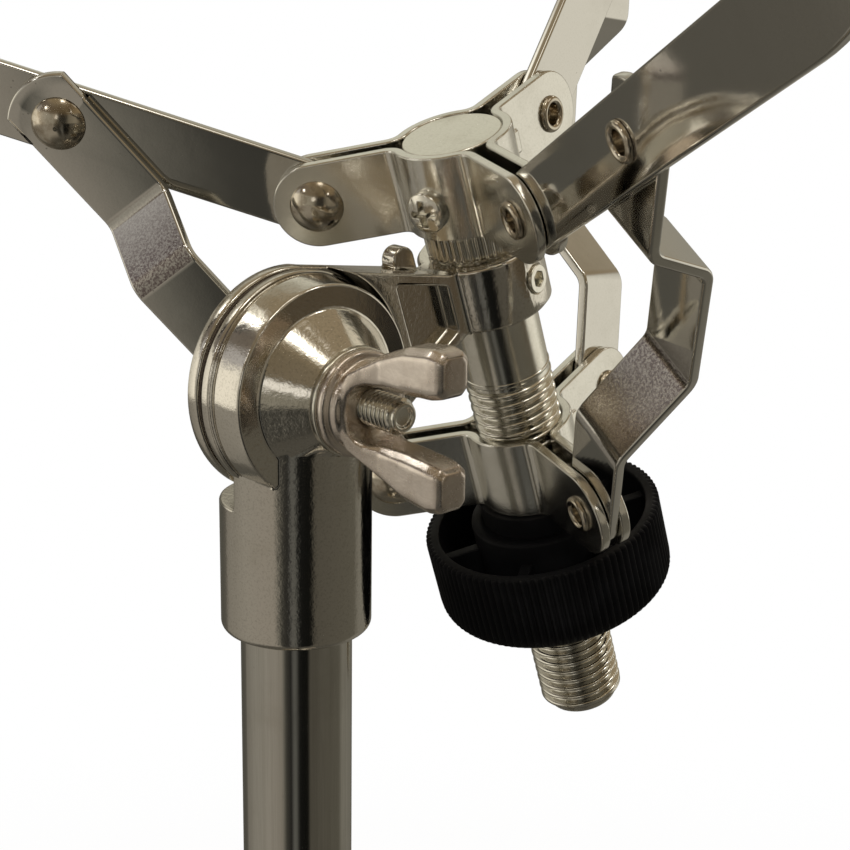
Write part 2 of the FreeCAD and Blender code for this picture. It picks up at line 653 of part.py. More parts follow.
# Basket rod and hubs
def basket_rod():
    knurl_top = collar_top + KNURL_LENGTH
    thread_top = rod_bottom + THREAD_LENGTH
    thread_foot = rod_bottom + ROD_END_ROUND
    root = THREAD_RADIUS - THREAD_DEPTH
    head = turned([(0, knurl_top), (ROD_HEAD_RADIUS, knurl_top), (ROD_HEAD_RADIUS, rod_top - ROD_HEAD_EDGE),
                   (ROD_HEAD_RADIUS - ROD_HEAD_EDGE, rod_top), (0, rod_top)])
    body = disc(ROD_RADIUS, thread_top, knurl_top)
    thread = threaded(THREAD_RADIUS, THREAD_DEPTH, THREAD_PITCH, thread_foot, thread_top)
    end_middle = (root - ROD_END_ROUND + ROD_END_ROUND * math.sin(math.pi / 4),
                  thread_foot - ROD_END_ROUND * math.cos(math.pi / 4))
    end = turned([(0, thread_foot), (root, thread_foot), (end_middle, (root - ROD_END_ROUND, rod_bottom)),
                  (0, rod_bottom)])
    knurl = ribbed_disc(KNURL_RADIUS, KNURL_DEPTH, KNURL_COUNT, collar_top, knurl_top)
    solid = joined(body, head, thread, end, knurl)
    screw_hole = disc(HUB_SCREW_RADIUS, ROD_HEAD_RADIUS - HUB_SCREW_DEPTH, ROD_HEAD_RADIUS + OVERRUN)
    screw_hole = sideways(screw_hole, plate_angle(0), upper_hub - HUB_SCREW_DROP)
    return on_rod(solid.cut(screw_hole), 0)


def hub_plate(bore):
    """One strip-steel plate: its middle hugs the rod at +X, and an ear leaves it at each end."""
    outer = bore + HUB_SHEET
    bend_reach = outer + HUB_BEND
    bend_side = ear_face + HUB_BEND
    bend_along = math.sqrt(bend_reach ** 2 - bend_side ** 2)
    bend_angle = math.degrees(math.asin(bend_side / bend_reach))
    half_span = ARM_STEP / 2 - bend_angle
    middle = sector(outer, bore, HUB_WIDTH, -half_span, 2 * half_span)
    bend = sector(HUB_BEND + HUB_SHEET, HUB_BEND, HUB_WIDTH, FULL_TURN / 4, FULL_TURN / 4 - bend_angle)
    bend = bend.translated(Vector(bend_along, -bend_side, 0))
    half_width = HUB_WIDTH / 2
    ear = block(Vector(bend_along, -ear_face, -half_width), Vector(RIVET_CIRCLE, -fork_half, half_width))
    lobe = Part.makeCylinder(half_width, HUB_SHEET, Vector(RIVET_CIRCLE, -ear_face, 0), Y_AXIS)
    tab = block(Vector(bend_along, -ear_face - HUB_TAB_PROUD, -HUB_TAB_HEIGHT / 2),
                Vector(bend_along + HUB_TAB_LENGTH, -ear_face, HUB_TAB_HEIGHT / 2))
    hole = Part.makeCylinder(RIVET_RADIUS, 2 * ear_face, Vector(RIVET_CIRCLE, -2 * ear_face, 0), Y_AXIS)
    side = joined(bend, ear, lobe, tab).cut(hole).rotated(ORIGIN, Z_AXIS, ARM_STEP / 2)
    return joined(middle, side, side.mirror(ORIGIN, Y_AXIS))


def plate_angle(index):
    return arm_angle(index) + ARM_STEP / 2


def upper_hub_plate(index):
    solid = hub_plate(ROD_HEAD_RADIUS)
    if index == 0:
        solid = solid.cut(sideways(disc(HUB_SCREW_RADIUS, 0, RIVET_CIRCLE), 0, -HUB_SCREW_DROP))
    return on_rod(solid.rotated(ORIGIN, Z_AXIS, plate_angle(index)), upper_hub)


def lower_hub_plate(index):
    return on_rod(hub_plate(lower_hub_bore).rotated(ORIGIN, Z_AXIS, plate_angle(index)), lower_hub)


def hub_screw():
    """Cross-recessed screw that holds the front plate of the upper hub to the rod."""
    face = ROD_HEAD_RADIUS + HUB_SHEET
    seat = math.sqrt(face ** 2 - HUB_SCREW_HEAD_RADIUS ** 2)
    top = face + HUB_SCREW_HEAD_HEIGHT
    shoulder = top - HUB_SCREW_CROWN
    head = turned([(0, seat), (HUB_SCREW_HEAD_RADIUS, seat), (HUB_SCREW_HEAD_RADIUS, shoulder),
                   dome_arc(HUB_SCREW_HEAD_RADIUS, shoulder, HUB_SCREW_CROWN)])
    head = head.cut(sideways(disc(face, -HUB_WIDTH, HUB_WIDTH), 0, 0))
    shank = disc(HUB_SCREW_RADIUS, ROD_HEAD_RADIUS - HUB_SCREW_DEPTH, face)
    solid = joined(head, shank)
    half, reach = HUB_SCREW_SLOT_WIDTH / 2, HUB_SCREW_SLOT_LENGTH / 2
    low, high = top - HUB_SCREW_SLOT_DEPTH, top + OVERRUN
    for wide, long in ((half, reach), (reach, half)):
        solid = solid.cut(block(Vector(-wide, -long, low), Vector(wide, long, high)))
    return on_rod(sideways(solid, plate_angle(0), 0), upper_hub - HUB_SCREW_DROP)


def rivet(front, back):
    """Semi-tubular rivet along +Y: domed head from Y = front on, rolled end past Y = -back."""
    end = -back - RIVET_TAIL_PROUD
    roll = (RIVET_TAIL_RADIUS - RIVET_BORE_RADIUS) / 2
    roll_middle = (RIVET_BORE_RADIUS + roll, end)
    profile = [(0, end + RIVET_BORE_DEPTH), (RIVET_BORE_RADIUS, end + RIVET_BORE_DEPTH),
               (RIVET_BORE_RADIUS, -back), (roll_middle, (RIVET_TAIL_RADIUS, -back)),
               (RIVET_RADIUS, -back), (RIVET_RADIUS, front), (RIVET_HEAD_RADIUS, front),
               dome_arc(RIVET_HEAD_RADIUS, front, RIVET_HEAD_HEIGHT)]
    return turned(profile).rotated(ORIGIN, X_AXIS, -FULL_TURN / 4)


def hub_rivets(height):
    """The three rivets of one hub, through both ears of each fork."""
    one = rivet(ear_face, ear_face).translated(Vector(RIVET_CIRCLE, 0, 0))
    return Part.makeCompound([at_arm(one, index, height) for index in range(ARM_COUNT)])


# Arms and struts
def raised(shape):
    """From the arm's own line (+X from its hub rivet) to its rise in the radial plane."""
    return shape.rotated(ORIGIN, Y_AXIS, -ARM_RISE).translated(Vector(RIVET_CIRCLE, 0, 0))


def hooked_outline(grow):
    """Outline of the arm and its hooked end from X = 0, grown all round."""
    outer = ARM_REACH + grow
    inner = ARM_REACH - HOOK_WIDTH - grow
    low, high = -bar_half - grow, bar_half + grow
    round_radius = HOOK_WIDTH / 2 + grow
    top = HOOK_HEIGHT - HOOK_WIDTH / 2
    corner = HOOK_OUTER_ROUND + grow
    corner_start, corner_arc = quarter((outer - corner, low + corner), corner, -FULL_TURN / 4, 0)
    nook = HOOK_INNER_ROUND - grow
    nook_start, nook_arc = quarter((inner - nook, high + nook), nook, 0, -FULL_TURN / 4)
    return [(0, low), corner_start, corner_arc, (outer, top),
            ((outer - round_radius, top + round_radius), (inner, top)), nook_start, nook_arc, (0, high)]


def arm_bar():
    profile = hooked_outline(0) + [((-bar_half, 0), (0, -bar_half))]
    bar = plate(profile, BAR_THICKNESS)
    bar = bar.cut(cross_pin(RIVET_RADIUS + RUNNING_GAP, BAR_WIDTH))
    return bar.cut(cross_pin(RIVET_RADIUS, BAR_WIDTH, ARM_STRUT_REACH))


def arm(index):
    return at_arm(raised(arm_bar()), index, upper_hub)


def grip(index):
    """Rubber boot over the hook."""
    half = BAR_THICKNESS / 2 + GRIP_WALL
    boot = plate(hooked_outline(GRIP_WALL), 2 * half)
    covered = block(Vector(ARM_REACH - GRIP_LENGTH, -half, -BAR_WIDTH),
                    Vector(2 * ARM_REACH, half, 2 * HOOK_HEIGHT))
    return at_arm(raised(boot.common(covered).cut(arm_bar())), index, upper_hub)


def arm_strut_rivet(index):
    stack = BAR_THICKNESS / 2 + FACE_GAP + BAR_THICKNESS
    one = rivet(stack + FACE_GAP, BAR_THICKNESS / 2).translated(Vector(ARM_STRUT_REACH, 0, 0))
    return at_arm(raised(one), index, upper_hub)


def strut(index):
    """Cranked flat bar from the arm's rivet (X = 0) to the lower hub's fork."""
    beside_arm = BAR_THICKNESS + FACE_GAP
    step_end = STRUT_TOP_FLAT + STRUT_STEP
    return_start = step_end + STRUT_MIDDLE
    path = [Vector(-bar_half, beside_arm, 0), Vector(STRUT_TOP_FLAT, beside_arm, 0),
            Vector(step_end, beside_arm + STRUT_BOW, 0), Vector(return_start, beside_arm + STRUT_BOW, 0),
            Vector(return_start + STRUT_RETURN, 0, 0), Vector(strut_length + bar_half, 0, 0)]
    strip = bent_strip(path, BAR_THICKNESS, STRUT_BEND, BAR_WIDTH)
    room = 2 * (beside_arm + STRUT_BOW + BAR_WIDTH)
    strip = strip.common(stadium(strut_length, bar_half, room))
    strip = strip.cut(cross_pin(RIVET_RADIUS + RUNNING_GAP, room))
    strip = strip.cut(cross_pin(RIVET_RADIUS + STRUT_PIVOT_PLAY, room, strut_length))
    steep = strip.rotated(ORIGIN, Y_AXIS, strut_angle)
    return at_arm(steep.translated(Vector(RIVET_CIRCLE + arm_tip_run, 0, arm_tip_rise)), index, upper_hub)


# Knob
def knob():
    low = knob_rim - KNOB_HEIGHT
    ribs = ribbed_disc(KNOB_RADIUS, KNOB_RIB_DEPTH, KNOB_RIB_COUNT, low, knob_rim)
    shape = turned([(0, low), (KNOB_RADIUS - KNOB_BOTTOM_EDGE, low), (KNOB_RADIUS, low + KNOB_BOTTOM_EDGE),
                    (KNOB_RADIUS, knob_rim - KNOB_TOP_EDGE), (KNOB_RADIUS - KNOB_TOP_EDGE, knob_rim),
                    (0, knob_rim)])
    hollow = disc(KNOB_RADIUS - KNOB_WALL, low + KNOB_FLOOR, knob_rim + OVERRUN)
    body = ribs.common(shape).cut(hollow)
    boss = disc(KNOB_BOSS_RADIUS, low, knob_rim + KNOB_BOSS_PROUD)
    spokes = []
    for index in range(KNOB_SPOKE_COUNT):
        spoke = block(Vector(INSERT_RADIUS, -KNOB_SPOKE_WIDTH / 2, low + KNOB_FLOOR / 2),
                      Vector(KNOB_RADIUS - KNOB_WALL / 2, KNOB_SPOKE_WIDTH / 2, knob_rim - KNOB_SPOKE_DROP))
        spokes.append(spoke.rotated(ORIGIN, Z_AXIS, index * FULL_TURN / KNOB_SPOKE_COUNT))
    solid = joined(body, boss, *spokes)
    return on_rod(solid.cut(disc(INSERT_RADIUS, low - OVERRUN, knob_rim + OVERRUN)), 0)


def knob_insert():
    return on_rod(tube(INSERT_RADIUS, lower_hub_bore, knob_rim - KNOB_HEIGHT, knob_rim + KNOB_RIM_DROP), 0)


# Clamping collars
def clamp_boss(angle, height):
    return sideways(disc(CLAMP_BOSS_RADIUS, 0, CLAMP_BOSS_REACH), angle, height)


def ring(radius, edge, low, high):
    """Solid round body with bevelled edges."""
    return turned([(0, low), (radius - edge, low), (radius, low + edge), (radius, high - edge),
                   (radius - edge, high), (0, high)])


def height_collar():
    low, high = base_top - HEIGHT_COLLAR_BELOW, base_top + HEIGHT_COLLAR_ABOVE
    bolt_height = base_top + HEIGHT_BOLT_RISE
    solid = joined(ring(HEIGHT_COLLAR_RADIUS, HEIGHT_COLLAR_EDGE, low, high),
                   clamp_boss(HEIGHT_BOLT_ANGLE, bolt_height))
    solid = solid.cut(disc(base_radius, low - OVERRUN, base_top))
    solid = solid.cut(disc(base_radius + RUNNING_GAP, base_top, base_top + BUSH_FLANGE + RUNNING_GAP))
    solid = solid.cut(disc(tube_radius + CLEAR_GAP, low, high + OVERRUN))
    reach = CLAMP_BOSS_REACH + OVERRUN
    return solid.cut(sideways(disc(SCREW_RADIUS + RUNNING_GAP, 0, reach), HEIGHT_BOLT_ANGLE, bolt_height))


def height_bolt():
    face = CLAMP_BOSS_REACH + SCREW_STAND_OFF
    shank = face - tube_radius - CLEAR_GAP
    return wing_bolt(shank, HEIGHT_BOLT_ANGLE, base_top + HEIGHT_BOLT_RISE, face)


def tongues(pivot_radius, width, height):
    """Three flat tongues with round ends, for the legs or the braces."""
    solids = []
    for index in range(LEG_COUNT):
        tongue = joined(block(Vector(base_radius, -width / 2, -TONGUE_RADIUS),
                              Vector(pivot_radius, width / 2, TONGUE_RADIUS)),
                        cross_pin(TONGUE_RADIUS, width, pivot_radius))
        solids.append(at_leg(tongue.translated(Vector(0, 0, height)), index))
    return solids


def pivot_holes(width, height):
    holes = [cross_pin(LEG_RIVET_RADIUS, width, LEG_PIVOT_RADIUS, height) for index in range(LEG_COUNT)]
    return [at_leg(hole, index) for index, hole in enumerate(holes)]


def tripod_collar():
    low, high = LEG_PIVOT_HEIGHT - TRIPOD_COLLAR_BELOW, LEG_PIVOT_HEIGHT + TRIPOD_COLLAR_ABOVE
    bolt_height = LEG_PIVOT_HEIGHT + TRIPOD_BOLT_RISE
    width = leg_inner_width - 2 * FACE_GAP
    solid = joined(ring(TRIPOD_COLLAR_RADIUS, TRIPOD_COLLAR_EDGE, low, high),
                   clamp_boss(TRIPOD_BOLT_ANGLE, bolt_height),
                   *tongues(LEG_PIVOT_RADIUS, width, LEG_PIVOT_HEIGHT))
    solid = solid.cut(disc(base_radius + RUNNING_GAP, low - OVERRUN, high + OVERRUN))
    reach = CLAMP_BOSS_REACH + OVERRUN
    solid = solid.cut(sideways(disc(SCREW_RADIUS + RUNNING_GAP, 0, reach), TRIPOD_BOLT_ANGLE, bolt_height))
    for hole in pivot_holes(LEG_WIDTH, LEG_PIVOT_HEIGHT):
        solid = solid.cut(hole)
    return solid


def tripod_bolt():
    face = CLAMP_BOSS_REACH + SCREW_STAND_OFF
    shank = face - base_radius - CLEAR_GAP
    return wing_bolt(shank, TRIPOD_BOLT_ANGLE, LEG_PIVOT_HEIGHT + TRIPOD_BOLT_RISE, face)


def tripod_hub():
    low, high = BRACE_PIVOT_HEIGHT - HUB_BODY_HEIGHT / 2, BRACE_PIVOT_HEIGHT + HUB_BODY_HEIGHT / 2
    width = brace_inner_width - 2 * FACE_GAP
    solid = joined(ring(HUB_BODY_RADIUS, HUB_BODY_EDGE, low, high),
                   *tongues(LEG_PIVOT_RADIUS, width, BRACE_PIVOT_HEIGHT))
    solid = solid.cut(disc(base_radius, low - OVERRUN, high + OVERRUN))
    pin_hole = disc(HUB_PIN_RADIUS, 0, HUB_BODY_RADIUS + OVERRUN)
    return solid.cut(sideways(pin_hole, HUB_PIN_ANGLE, BRACE_PIVOT_HEIGHT))


def hub_pin():
    """Set screw that holds the tripod hub on the base tube."""
    solid = disc(HUB_PIN_RADIUS, base_radius, HUB_BODY_RADIUS)
    solid = sideways(solid, HUB_PIN_ANGLE, BRACE_PIVOT_HEIGHT)
    low, high = BRACE_PIVOT_HEIGHT - HUB_BODY_HEIGHT, BRACE_PIVOT_HEIGHT + HUB_BODY_HEIGHT
    return solid.cut(disc(base_radius, low, high))


# Legs
def channel(length, width, depth, sheet, web_from, web_to):
    """U channel along +X with round ends about X = 0 and X = length, web on the +Z side."""
    half = depth / 2
    solid = stadium(length, half, width)
    side = width / 2 - sheet
    solid = solid.cut(block(Vector(-depth, -side, -depth), Vector(length + depth, side, half - sheet)))
    for low, high in ((-depth, web_from), (web_to, length + 2 * depth)):
        solid = solid.cut(block(Vector(low, -side, -depth), Vector(high, side, depth)))
    return solid


def sloped(shape, angle, radius, height):
    """From +X to a slope down from a point of the radial plane."""
    return shape.rotated(ORIGIN, Y_AXIS, angle).translated(Vector(radius, 0, height))


def leg_channel():
    solid = channel(leg_length, LEG_WIDTH, LEG_DEPTH, LEG_SHEET, LEG_WEB_START, leg_length + LEG_DEPTH)
    solid = solid.cut(cross_pin(LEG_RIVET_RADIUS + RUNNING_GAP, 2 * LEG_WIDTH))
    return solid.cut(cross_pin(LEG_RIVET_RADIUS, 2 * LEG_WIDTH, BRACE_REACH))


def leg(index):
    return at_leg(sloped(leg_channel(), leg_angle, LEG_PIVOT_RADIUS, LEG_PIVOT_HEIGHT), index)


def foot(index):
    """Rubber boot on the leg's end, its sole cut level with the floor."""
    low, high = leg_length + FOOT_PAST_LEG - FOOT_LENGTH, leg_length + FOOT_PAST_LEG
    ring_low = low + FOOT_RING_WIDTH
    boot = turned([(0, low), (FOOT_RADIUS, low), (FOOT_RADIUS, ring_low),
                   (FOOT_RADIUS - FOOT_RING_DEPTH, ring_low + FOOT_RING_DEPTH),
                   (FOOT_RADIUS - FOOT_RING_DEPTH, ring_low + FOOT_RING_WIDTH),
                   (FOOT_RADIUS, ring_low + FOOT_RING_WIDTH + FOOT_RING_DEPTH),
                   (FOOT_RADIUS, high - FOOT_EDGE), (FOOT_RADIUS - FOOT_EDGE, high), (0, high)])
    boot = boot.rotated(ORIGIN, Y_AXIS, FULL_TURN / 4).cut(leg_channel())
    placed = sloped(boot, leg_angle, LEG_PIVOT_RADIUS, LEG_PIVOT_HEIGHT)
    floor = block(Vector(-STANCE_RADIUS, -STANCE_RADIUS, -STANCE_RADIUS),
                  Vector(2 * STANCE_RADIUS, STANCE_RADIUS, 0))
    return at_leg(placed.cut(floor), index)


def button_rivet(width):
    """Plain rivet along Y with a low round head on each side."""
    half = width / 2
    low_crown, low_top = dome_arc(LEG_RIVET_HEAD_RADIUS, -half, -LEG_RIVET_HEAD_HEIGHT)
    profile = [low_top, (low_crown, (LEG_RIVET_HEAD_RADIUS, -half)), (LEG_RIVET_RADIUS, -half),
               (LEG_RIVET_RADIUS, half), (LEG_RIVET_HEAD_RADIUS, half),
               dome_arc(LEG_RIVET_HEAD_RADIUS, half, LEG_RIVET_HEAD_HEIGHT)]
    return turned(profile).rotated(ORIGIN, X_AXIS, FULL_TURN / 4)


def leg_pivot_rivets():
    one = button_rivet(LEG_WIDTH + 2 * FACE_GAP).translated(Vector(LEG_PIVOT_RADIUS, 0, LEG_PIVOT_HEIGHT))
    return Part.makeCompound([at_leg(one, index) for index in range(LEG_COUNT)])


def leg_brace_rivet(index):
    one = button_rivet(LEG_WIDTH).translated(Vector(BRACE_REACH, 0, 0))
    return at_leg(sloped(one, leg_angle, LEG_PIVOT_RADIUS, LEG_PIVOT_HEIGHT), index)


def brace(index):
    solid = channel(brace_length, brace_width, BRACE_DEPTH, BRACE_SHEET, BRACE_WEB_START,
                    brace_length - BRACE_WEB_START)
    solid = solid.cut(cross_pin(LEG_RIVET_RADIUS + RUNNING_GAP, 2 * LEG_WIDTH))
    solid = solid.cut(cross_pin(LEG_RIVET_RADIUS, 2 * LEG_WIDTH, brace_length))
    return at_leg(sloped(solid, brace_angle, brace_top_radius, brace_top_height), index)


def brace_end_rivet(index):
    """Rivet heads at the brace's lower end; the linkage is opened here, so the shank stops at the channel."""
    one = button_rivet(brace_width).cut(cross_pin(LEG_RIVET_HEAD_RADIUS, brace_inner_width))
    placed = one.translated(Vector(brace_length, 0, 0))
    return at_leg(sloped(placed, brace_angle, brace_top_radius, brace_top_height), index)


# Assembly
def all_parts():
    single = {
        "upper_tube": upper_tube, "tube_plug": tube_plug, "base_tube": base_tube, "base_plug": base_plug,
        "guide_bush": guide_bush, "height_collar": height_collar, "height_bolt": height_bolt,
        "tilter_base": tilter_base, "friction_washer": friction_washer, "tilter_bolt": tilter_bolt,
        "nut_washer": nut_washer, "wing_nut": wing_nut, "tilter_arm": tilter_arm,
        "collar_screw": collar_screw, "basket_rod": basket_rod, "hub_screw": hub_screw, "knob": knob,
        "knob_insert": knob_insert, "tripod_collar": tripod_collar, "tripod_bolt": tripod_bolt,
        "tripod_hub": tripod_hub, "hub_pin": hub_pin, "leg_pivot_rivets": leg_pivot_rivets,
    }
    repeated = {
        "upper_hub_plate": upper_hub_plate, "lower_hub_plate": lower_hub_plate, "arm": arm, "grip": grip,
        "arm_strut_rivet": arm_strut_rivet, "strut": strut, "leg": leg, "foot": foot,
        "leg_brace_rivet": leg_brace_rivet, "brace": brace, "brace_end_rivet": brace_end_rivet,
    }
    parts = {name: make() for name, make in single.items()}
    parts["upper_hub_rivets"] = hub_rivets(upper_hub)
    parts["lower_hub_rivets"] = hub_rivets(lower_hub)
    for name, make in repeated.items():
        for index in range(ARM_COUNT):
            parts[f"{name}_{index + 1}"] = make(index)
    return parts


def main():
    os.makedirs("parts", exist_ok=True)
    for name, shape in all_parts().items():
        solids = shape.Solids
        print(f"{name}: {len(solids)} solid, valid {shape.isValid()}, {shape.Volume / 1000:.2f} cm3")
        shape.exportStep(f"parts/{name}.step")


main()
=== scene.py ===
import json
import math

import bmesh
import bpy
from mathutils import Matrix, Vector

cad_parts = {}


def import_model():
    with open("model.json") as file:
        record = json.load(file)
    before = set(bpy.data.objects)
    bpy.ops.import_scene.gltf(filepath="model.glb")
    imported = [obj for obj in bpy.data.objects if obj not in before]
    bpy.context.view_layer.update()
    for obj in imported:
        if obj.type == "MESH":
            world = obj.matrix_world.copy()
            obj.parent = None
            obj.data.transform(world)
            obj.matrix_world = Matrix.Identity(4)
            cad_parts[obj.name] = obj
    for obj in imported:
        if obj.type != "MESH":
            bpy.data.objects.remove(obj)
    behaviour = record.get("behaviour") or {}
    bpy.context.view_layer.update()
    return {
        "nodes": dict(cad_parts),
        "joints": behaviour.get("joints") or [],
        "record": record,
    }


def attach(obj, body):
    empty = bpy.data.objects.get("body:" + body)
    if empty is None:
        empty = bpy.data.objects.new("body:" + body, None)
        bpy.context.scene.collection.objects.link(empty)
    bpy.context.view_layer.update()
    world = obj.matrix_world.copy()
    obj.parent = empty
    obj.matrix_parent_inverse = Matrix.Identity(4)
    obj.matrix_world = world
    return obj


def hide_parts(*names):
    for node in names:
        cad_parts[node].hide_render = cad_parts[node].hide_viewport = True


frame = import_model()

# Snare drum stand, dressed: welded and rounded copies of the frame's pieces, turned, threaded and cast pieces
# built by rule, plated and moulded finishes, and a light tent that the plating mirrors. Metres, +Z up.
MILLIMETRE = 0.001
JOINTS = {joint["name"]: joint for joint in frame["joints"]}
SLOTS = {part["node"]: part["material_slot"] for part in frame["record"]["subparts"]}
BODIES = frame["record"]["behaviour"]["bodies"]
NODE_BODY = {node: body for body, nodes in BODIES.items() for node in nodes}
THREE = (1, 2, 3)

# Camera, fitted to the photograph
CAMERA_PLACE = Vector((-0.19762, -0.24955, 0.59269))
CAMERA_LOOK = Vector((0.644216, 0.709327, -0.286079))
CAMERA_ROLL = -0.014
CAMERA_SENSOR = 36.0
CAMERA_CLIP = (0.01, 100)
PICTURE_SIZE = 850
FOCAL_PIXELS = 2000

# Rounding of the welded copies
WELD = 2e-6
FLAT_ANGLE = math.radians(0.6)
SHARP_ANGLE = math.radians(48)
STRIP_EDGE = 0.34 * MILLIMETRE
BAR_EDGE = 0.5 * MILLIMETRE
CASTING_EDGE = 0.45 * MILLIMETRE
FINE_EDGE = 0.15 * MILLIMETRE
TUBE_EDGE = 0.3 * MILLIMETRE
RUBBER_EDGE = 0.7 * MILLIMETRE
CAST_GRAIN = 0.27 * MILLIMETRE          # size of the faces in the skin of a softened casting
CAST_PASSES = 7                         # passes that smooth this skin
CAST_SMOOTHING = 0.5                    # strength of a pass

# Tabs of the hub plates, which the front plates don't show
TAB_PROUD = 0.5 * MILLIMETRE
TAB_AREA = 4.2 * MILLIMETRE * 2.4 * MILLIMETRE
TAB_AREA_TOLERANCE = 0.005
TABLESS = ("upper_hub_plate_1", "lower_hub_plate_1")

# Small steps where the tilter's web runs into the chamfers of its disc
STEP_LENGTHS = (0.45 * MILLIMETRE, 1.05 * MILLIMETRE)
STEP_ANGLES = (math.radians(100), math.radians(120))

# Upper ends of the struts, which are half circles in the CAD
STRUTS = ("strut_1", "strut_2", "strut_3")
STRUT_HALF_WIDTH = 6.6 * MILLIMETRE
STRUT_RIM = 5.0 * MILLIMETRE            # least distance of the end's rim from the rivet
STRUT_RIM_SLACK = 0.1 * MILLIMETRE      # how far the rim may begin below the rivet
STRUT_SHOULDER = 6.1 * MILLIMETRE       # rivet to the shoulders
STRUT_ARC = 9.7 * MILLIMETRE            # radius of the arc between the shoulders
ON_EDGE = 0.1                           # largest cosine between the normals of the rim and the flats

# Cranks of the struts: scratches, and painted shade that darkens their turned faces
CRANK_TURN = (0.5, 0.85)                # turn of a crank from the flats, as cosines
BEND_TURN = (0.25, 0.99)                # the same for a crank with the bends at its ends
BEND_SQUARE = 0.15                      # largest cosine between a bent face's normal and the bends' axis
SCUFF_AND_SHADE_PLACES = {                        # pivot to where the scratches and painted shade begin and to where they are at their full
    "strut_1": (18 * MILLIMETRE, 30 * MILLIMETRE),
    "strut_2": (74 * MILLIMETRE, 57 * MILLIMETRE),
}
SCUFF_AND_SHADE_REACH = 15 * MILLIMETRE           # middle of the scratches and painted shade to the furthest marked face

# Turned pieces, in millimetres: heights on the basket rod count from the level of the tilter's axis
ROUND_STEPS = 160
LOWER_HUB_HEIGHT = -39.5
ROD_TOP = 25.0
ROD_BOTTOM = -95.6
ROD_RADIUS = 7.83
ROD_HEAD_RADIUS = 8.8
ROD_EDGE = 0.35
ROD_END_EDGE = 0.9
KNURL_BOTTOM = 4.1
KNURL_LENGTH = 5.7
KNURL_RADIUS = 8.9
KNURL_DEPTH = 0.6
KNURL_TEETH = 40
KNURL_FADE = 0.3
KNURL_COLUMNS_PER_TOOTH = 10
KNURL_ROWS = 12
THREAD_RADIUS = 7.97
THREAD_DEPTH = 1.15
THREAD_PITCH = 2.0
THREAD_LENGTH = 75.4
THREAD_RUNOUT = 3.0
THREAD_COLUMNS = 96
THREAD_ROWS_PER_TURN = 12
GROOVE_FLANK = (0.1, 0.9)   # shares of half a pitch between which a groove deepens
GROOVE_SLACK = 1e-4         # rows this near to an end close it, and points this near are joined
BOLT_RADIUS = 3.0
BOLT_THREAD_DEPTH = 0.55
BOLT_PITCH = 1.0
BOLT_THREAD_LENGTH = 15.0
BOLT_END = 27.3             # from the tube's middle plane
BOLT_CUP_RADIUS = 1.6       # hollow in the bolt's end
BOLT_CUP_DEPTH = 0.6
BOLT_HEAD_SEAT = -6.5
BOLT_HEAD_RADIUS = 6.5
BOLT_HEAD_HEIGHT = 3.6
BOLT_EDGE = 0.3
KNOB_RIM = -53.0
KNOB_HEIGHT = 16.3
KNOB_RADIUS = 22.4
KNOB_RIBS = 100
KNOB_RIB_DEPTH = 0.75
KNOB_RIB_STEPS = 8
KNOB_WALL = 2.6
KNOB_FLOOR = 5.0
KNOB_BOSS_RADIUS = 13.2
KNOB_BOSS_PROUD = 1.6
KNOB_BORE_RADIUS = 10.8
KNOB_SPOKES = 6
KNOB_SPOKE_WIDTH = 2.2
KNOB_SPOKE_DROP = 2.4
KNOB_SPOKE_EDGE = 0.3
KNOB_SPOKE_SINK = 0.5       # how far the spokes go into boss, wall and floor
# Skin of the knob at its corners: distance from a radius, height from a level, share of the ribs' depth
KNOB_FOOT_SKIN = ((-2.6, 0, 0), (-2.0, 0.2, 0), (-1.2, 0.8, 0.2), (-0.5, 1.6, 0.7), (-0.1, 2.6, 1),
                  (0, 4.0, 1))
KNOB_RIM_SKIN = ((0, -0.55, 1), (-0.12, -0.2, 1), (-0.4, 0, 1), (-1.25, 0, 0))
KNOB_LIP_SKIN = ((0.35, 0, 0), (0.1, -0.1, 0), (0, -0.4, 0))
KNOB_WALL_FOOT_SKIN = ((0, 0.8, 0), (-0.3, 0.2, 0), (-0.9, 0, 0))
KNOB_BOSS_FOOT_SKIN = ((0.9, 0, 0), (0.2, 0.3, 0), (0, 0.9, 0))
KNOB_BOSS_TOP_SKIN = ((0, -0.5, 0), (-0.15, -0.12, 0), (-0.5, 0, 0))

# Wing nut, in millimetres about its axis; its seat counts from the tube's middle plane
NUT_SEAT = 16.1
NUT_BORE_RADIUS = 3.1
NUT_BORE_SPAN = (-1, 9)
NUT_FLANGE = ((0, 0), (8.8, 0), (8.8, 1.2), (8.4, 1.6), (7.5, 1.7), (7.3, 1.9), (7.2, 2.6), (6.8, 2.9),
              (0, 2.9))
NUT_CHAMFER_SHARE = 0.36
# Sections from a wing's tip to the middle of the saddle between the wings: distance from the axis, height
# over the seat, half thickness, half width and lean in degrees
NUT_SECTIONS = (
    (9.1, 22.6, 2.8, 2.4, 0), (9.05, 21.7, 3.6, 3.2, 0), (9.0, 19.7, 4.0, 3.5, 0),
    (8.45, 14.2, 3.85, 3.5, 0), (7.4, 9.0, 2.8, 3.6, 0), (6.4, 5.9, 1.6, 4.5, 14),
    (5.4, 3.9, 1.4, 5.3, 42), (3.4, 2.6, 1.25, 5.9, 74), (0, 2.3, 1.2, 6.2, 90))

# World and floor
WORLD_COLOUR = (1.0, 0.99, 0.97)
WORLD_LIGHT = 0.55          # strength as light; rays that show the background see 1
FLOOR_SIZE = 60
FLOOR_COLOUR = (0.9, 0.9, 0.9)
FLOOR_GLOW = 0.72           # share of white near the stand, where the floor keeps the shadow
FLOOR_GLOW_FADE = (0.45, 0.95)

# Light tent round the stand, seen only in reflections
TENT_RADIUS = 0.9
TENT_HEIGHT = 1.7
TENT_FLOOR_LIFT = 0.002
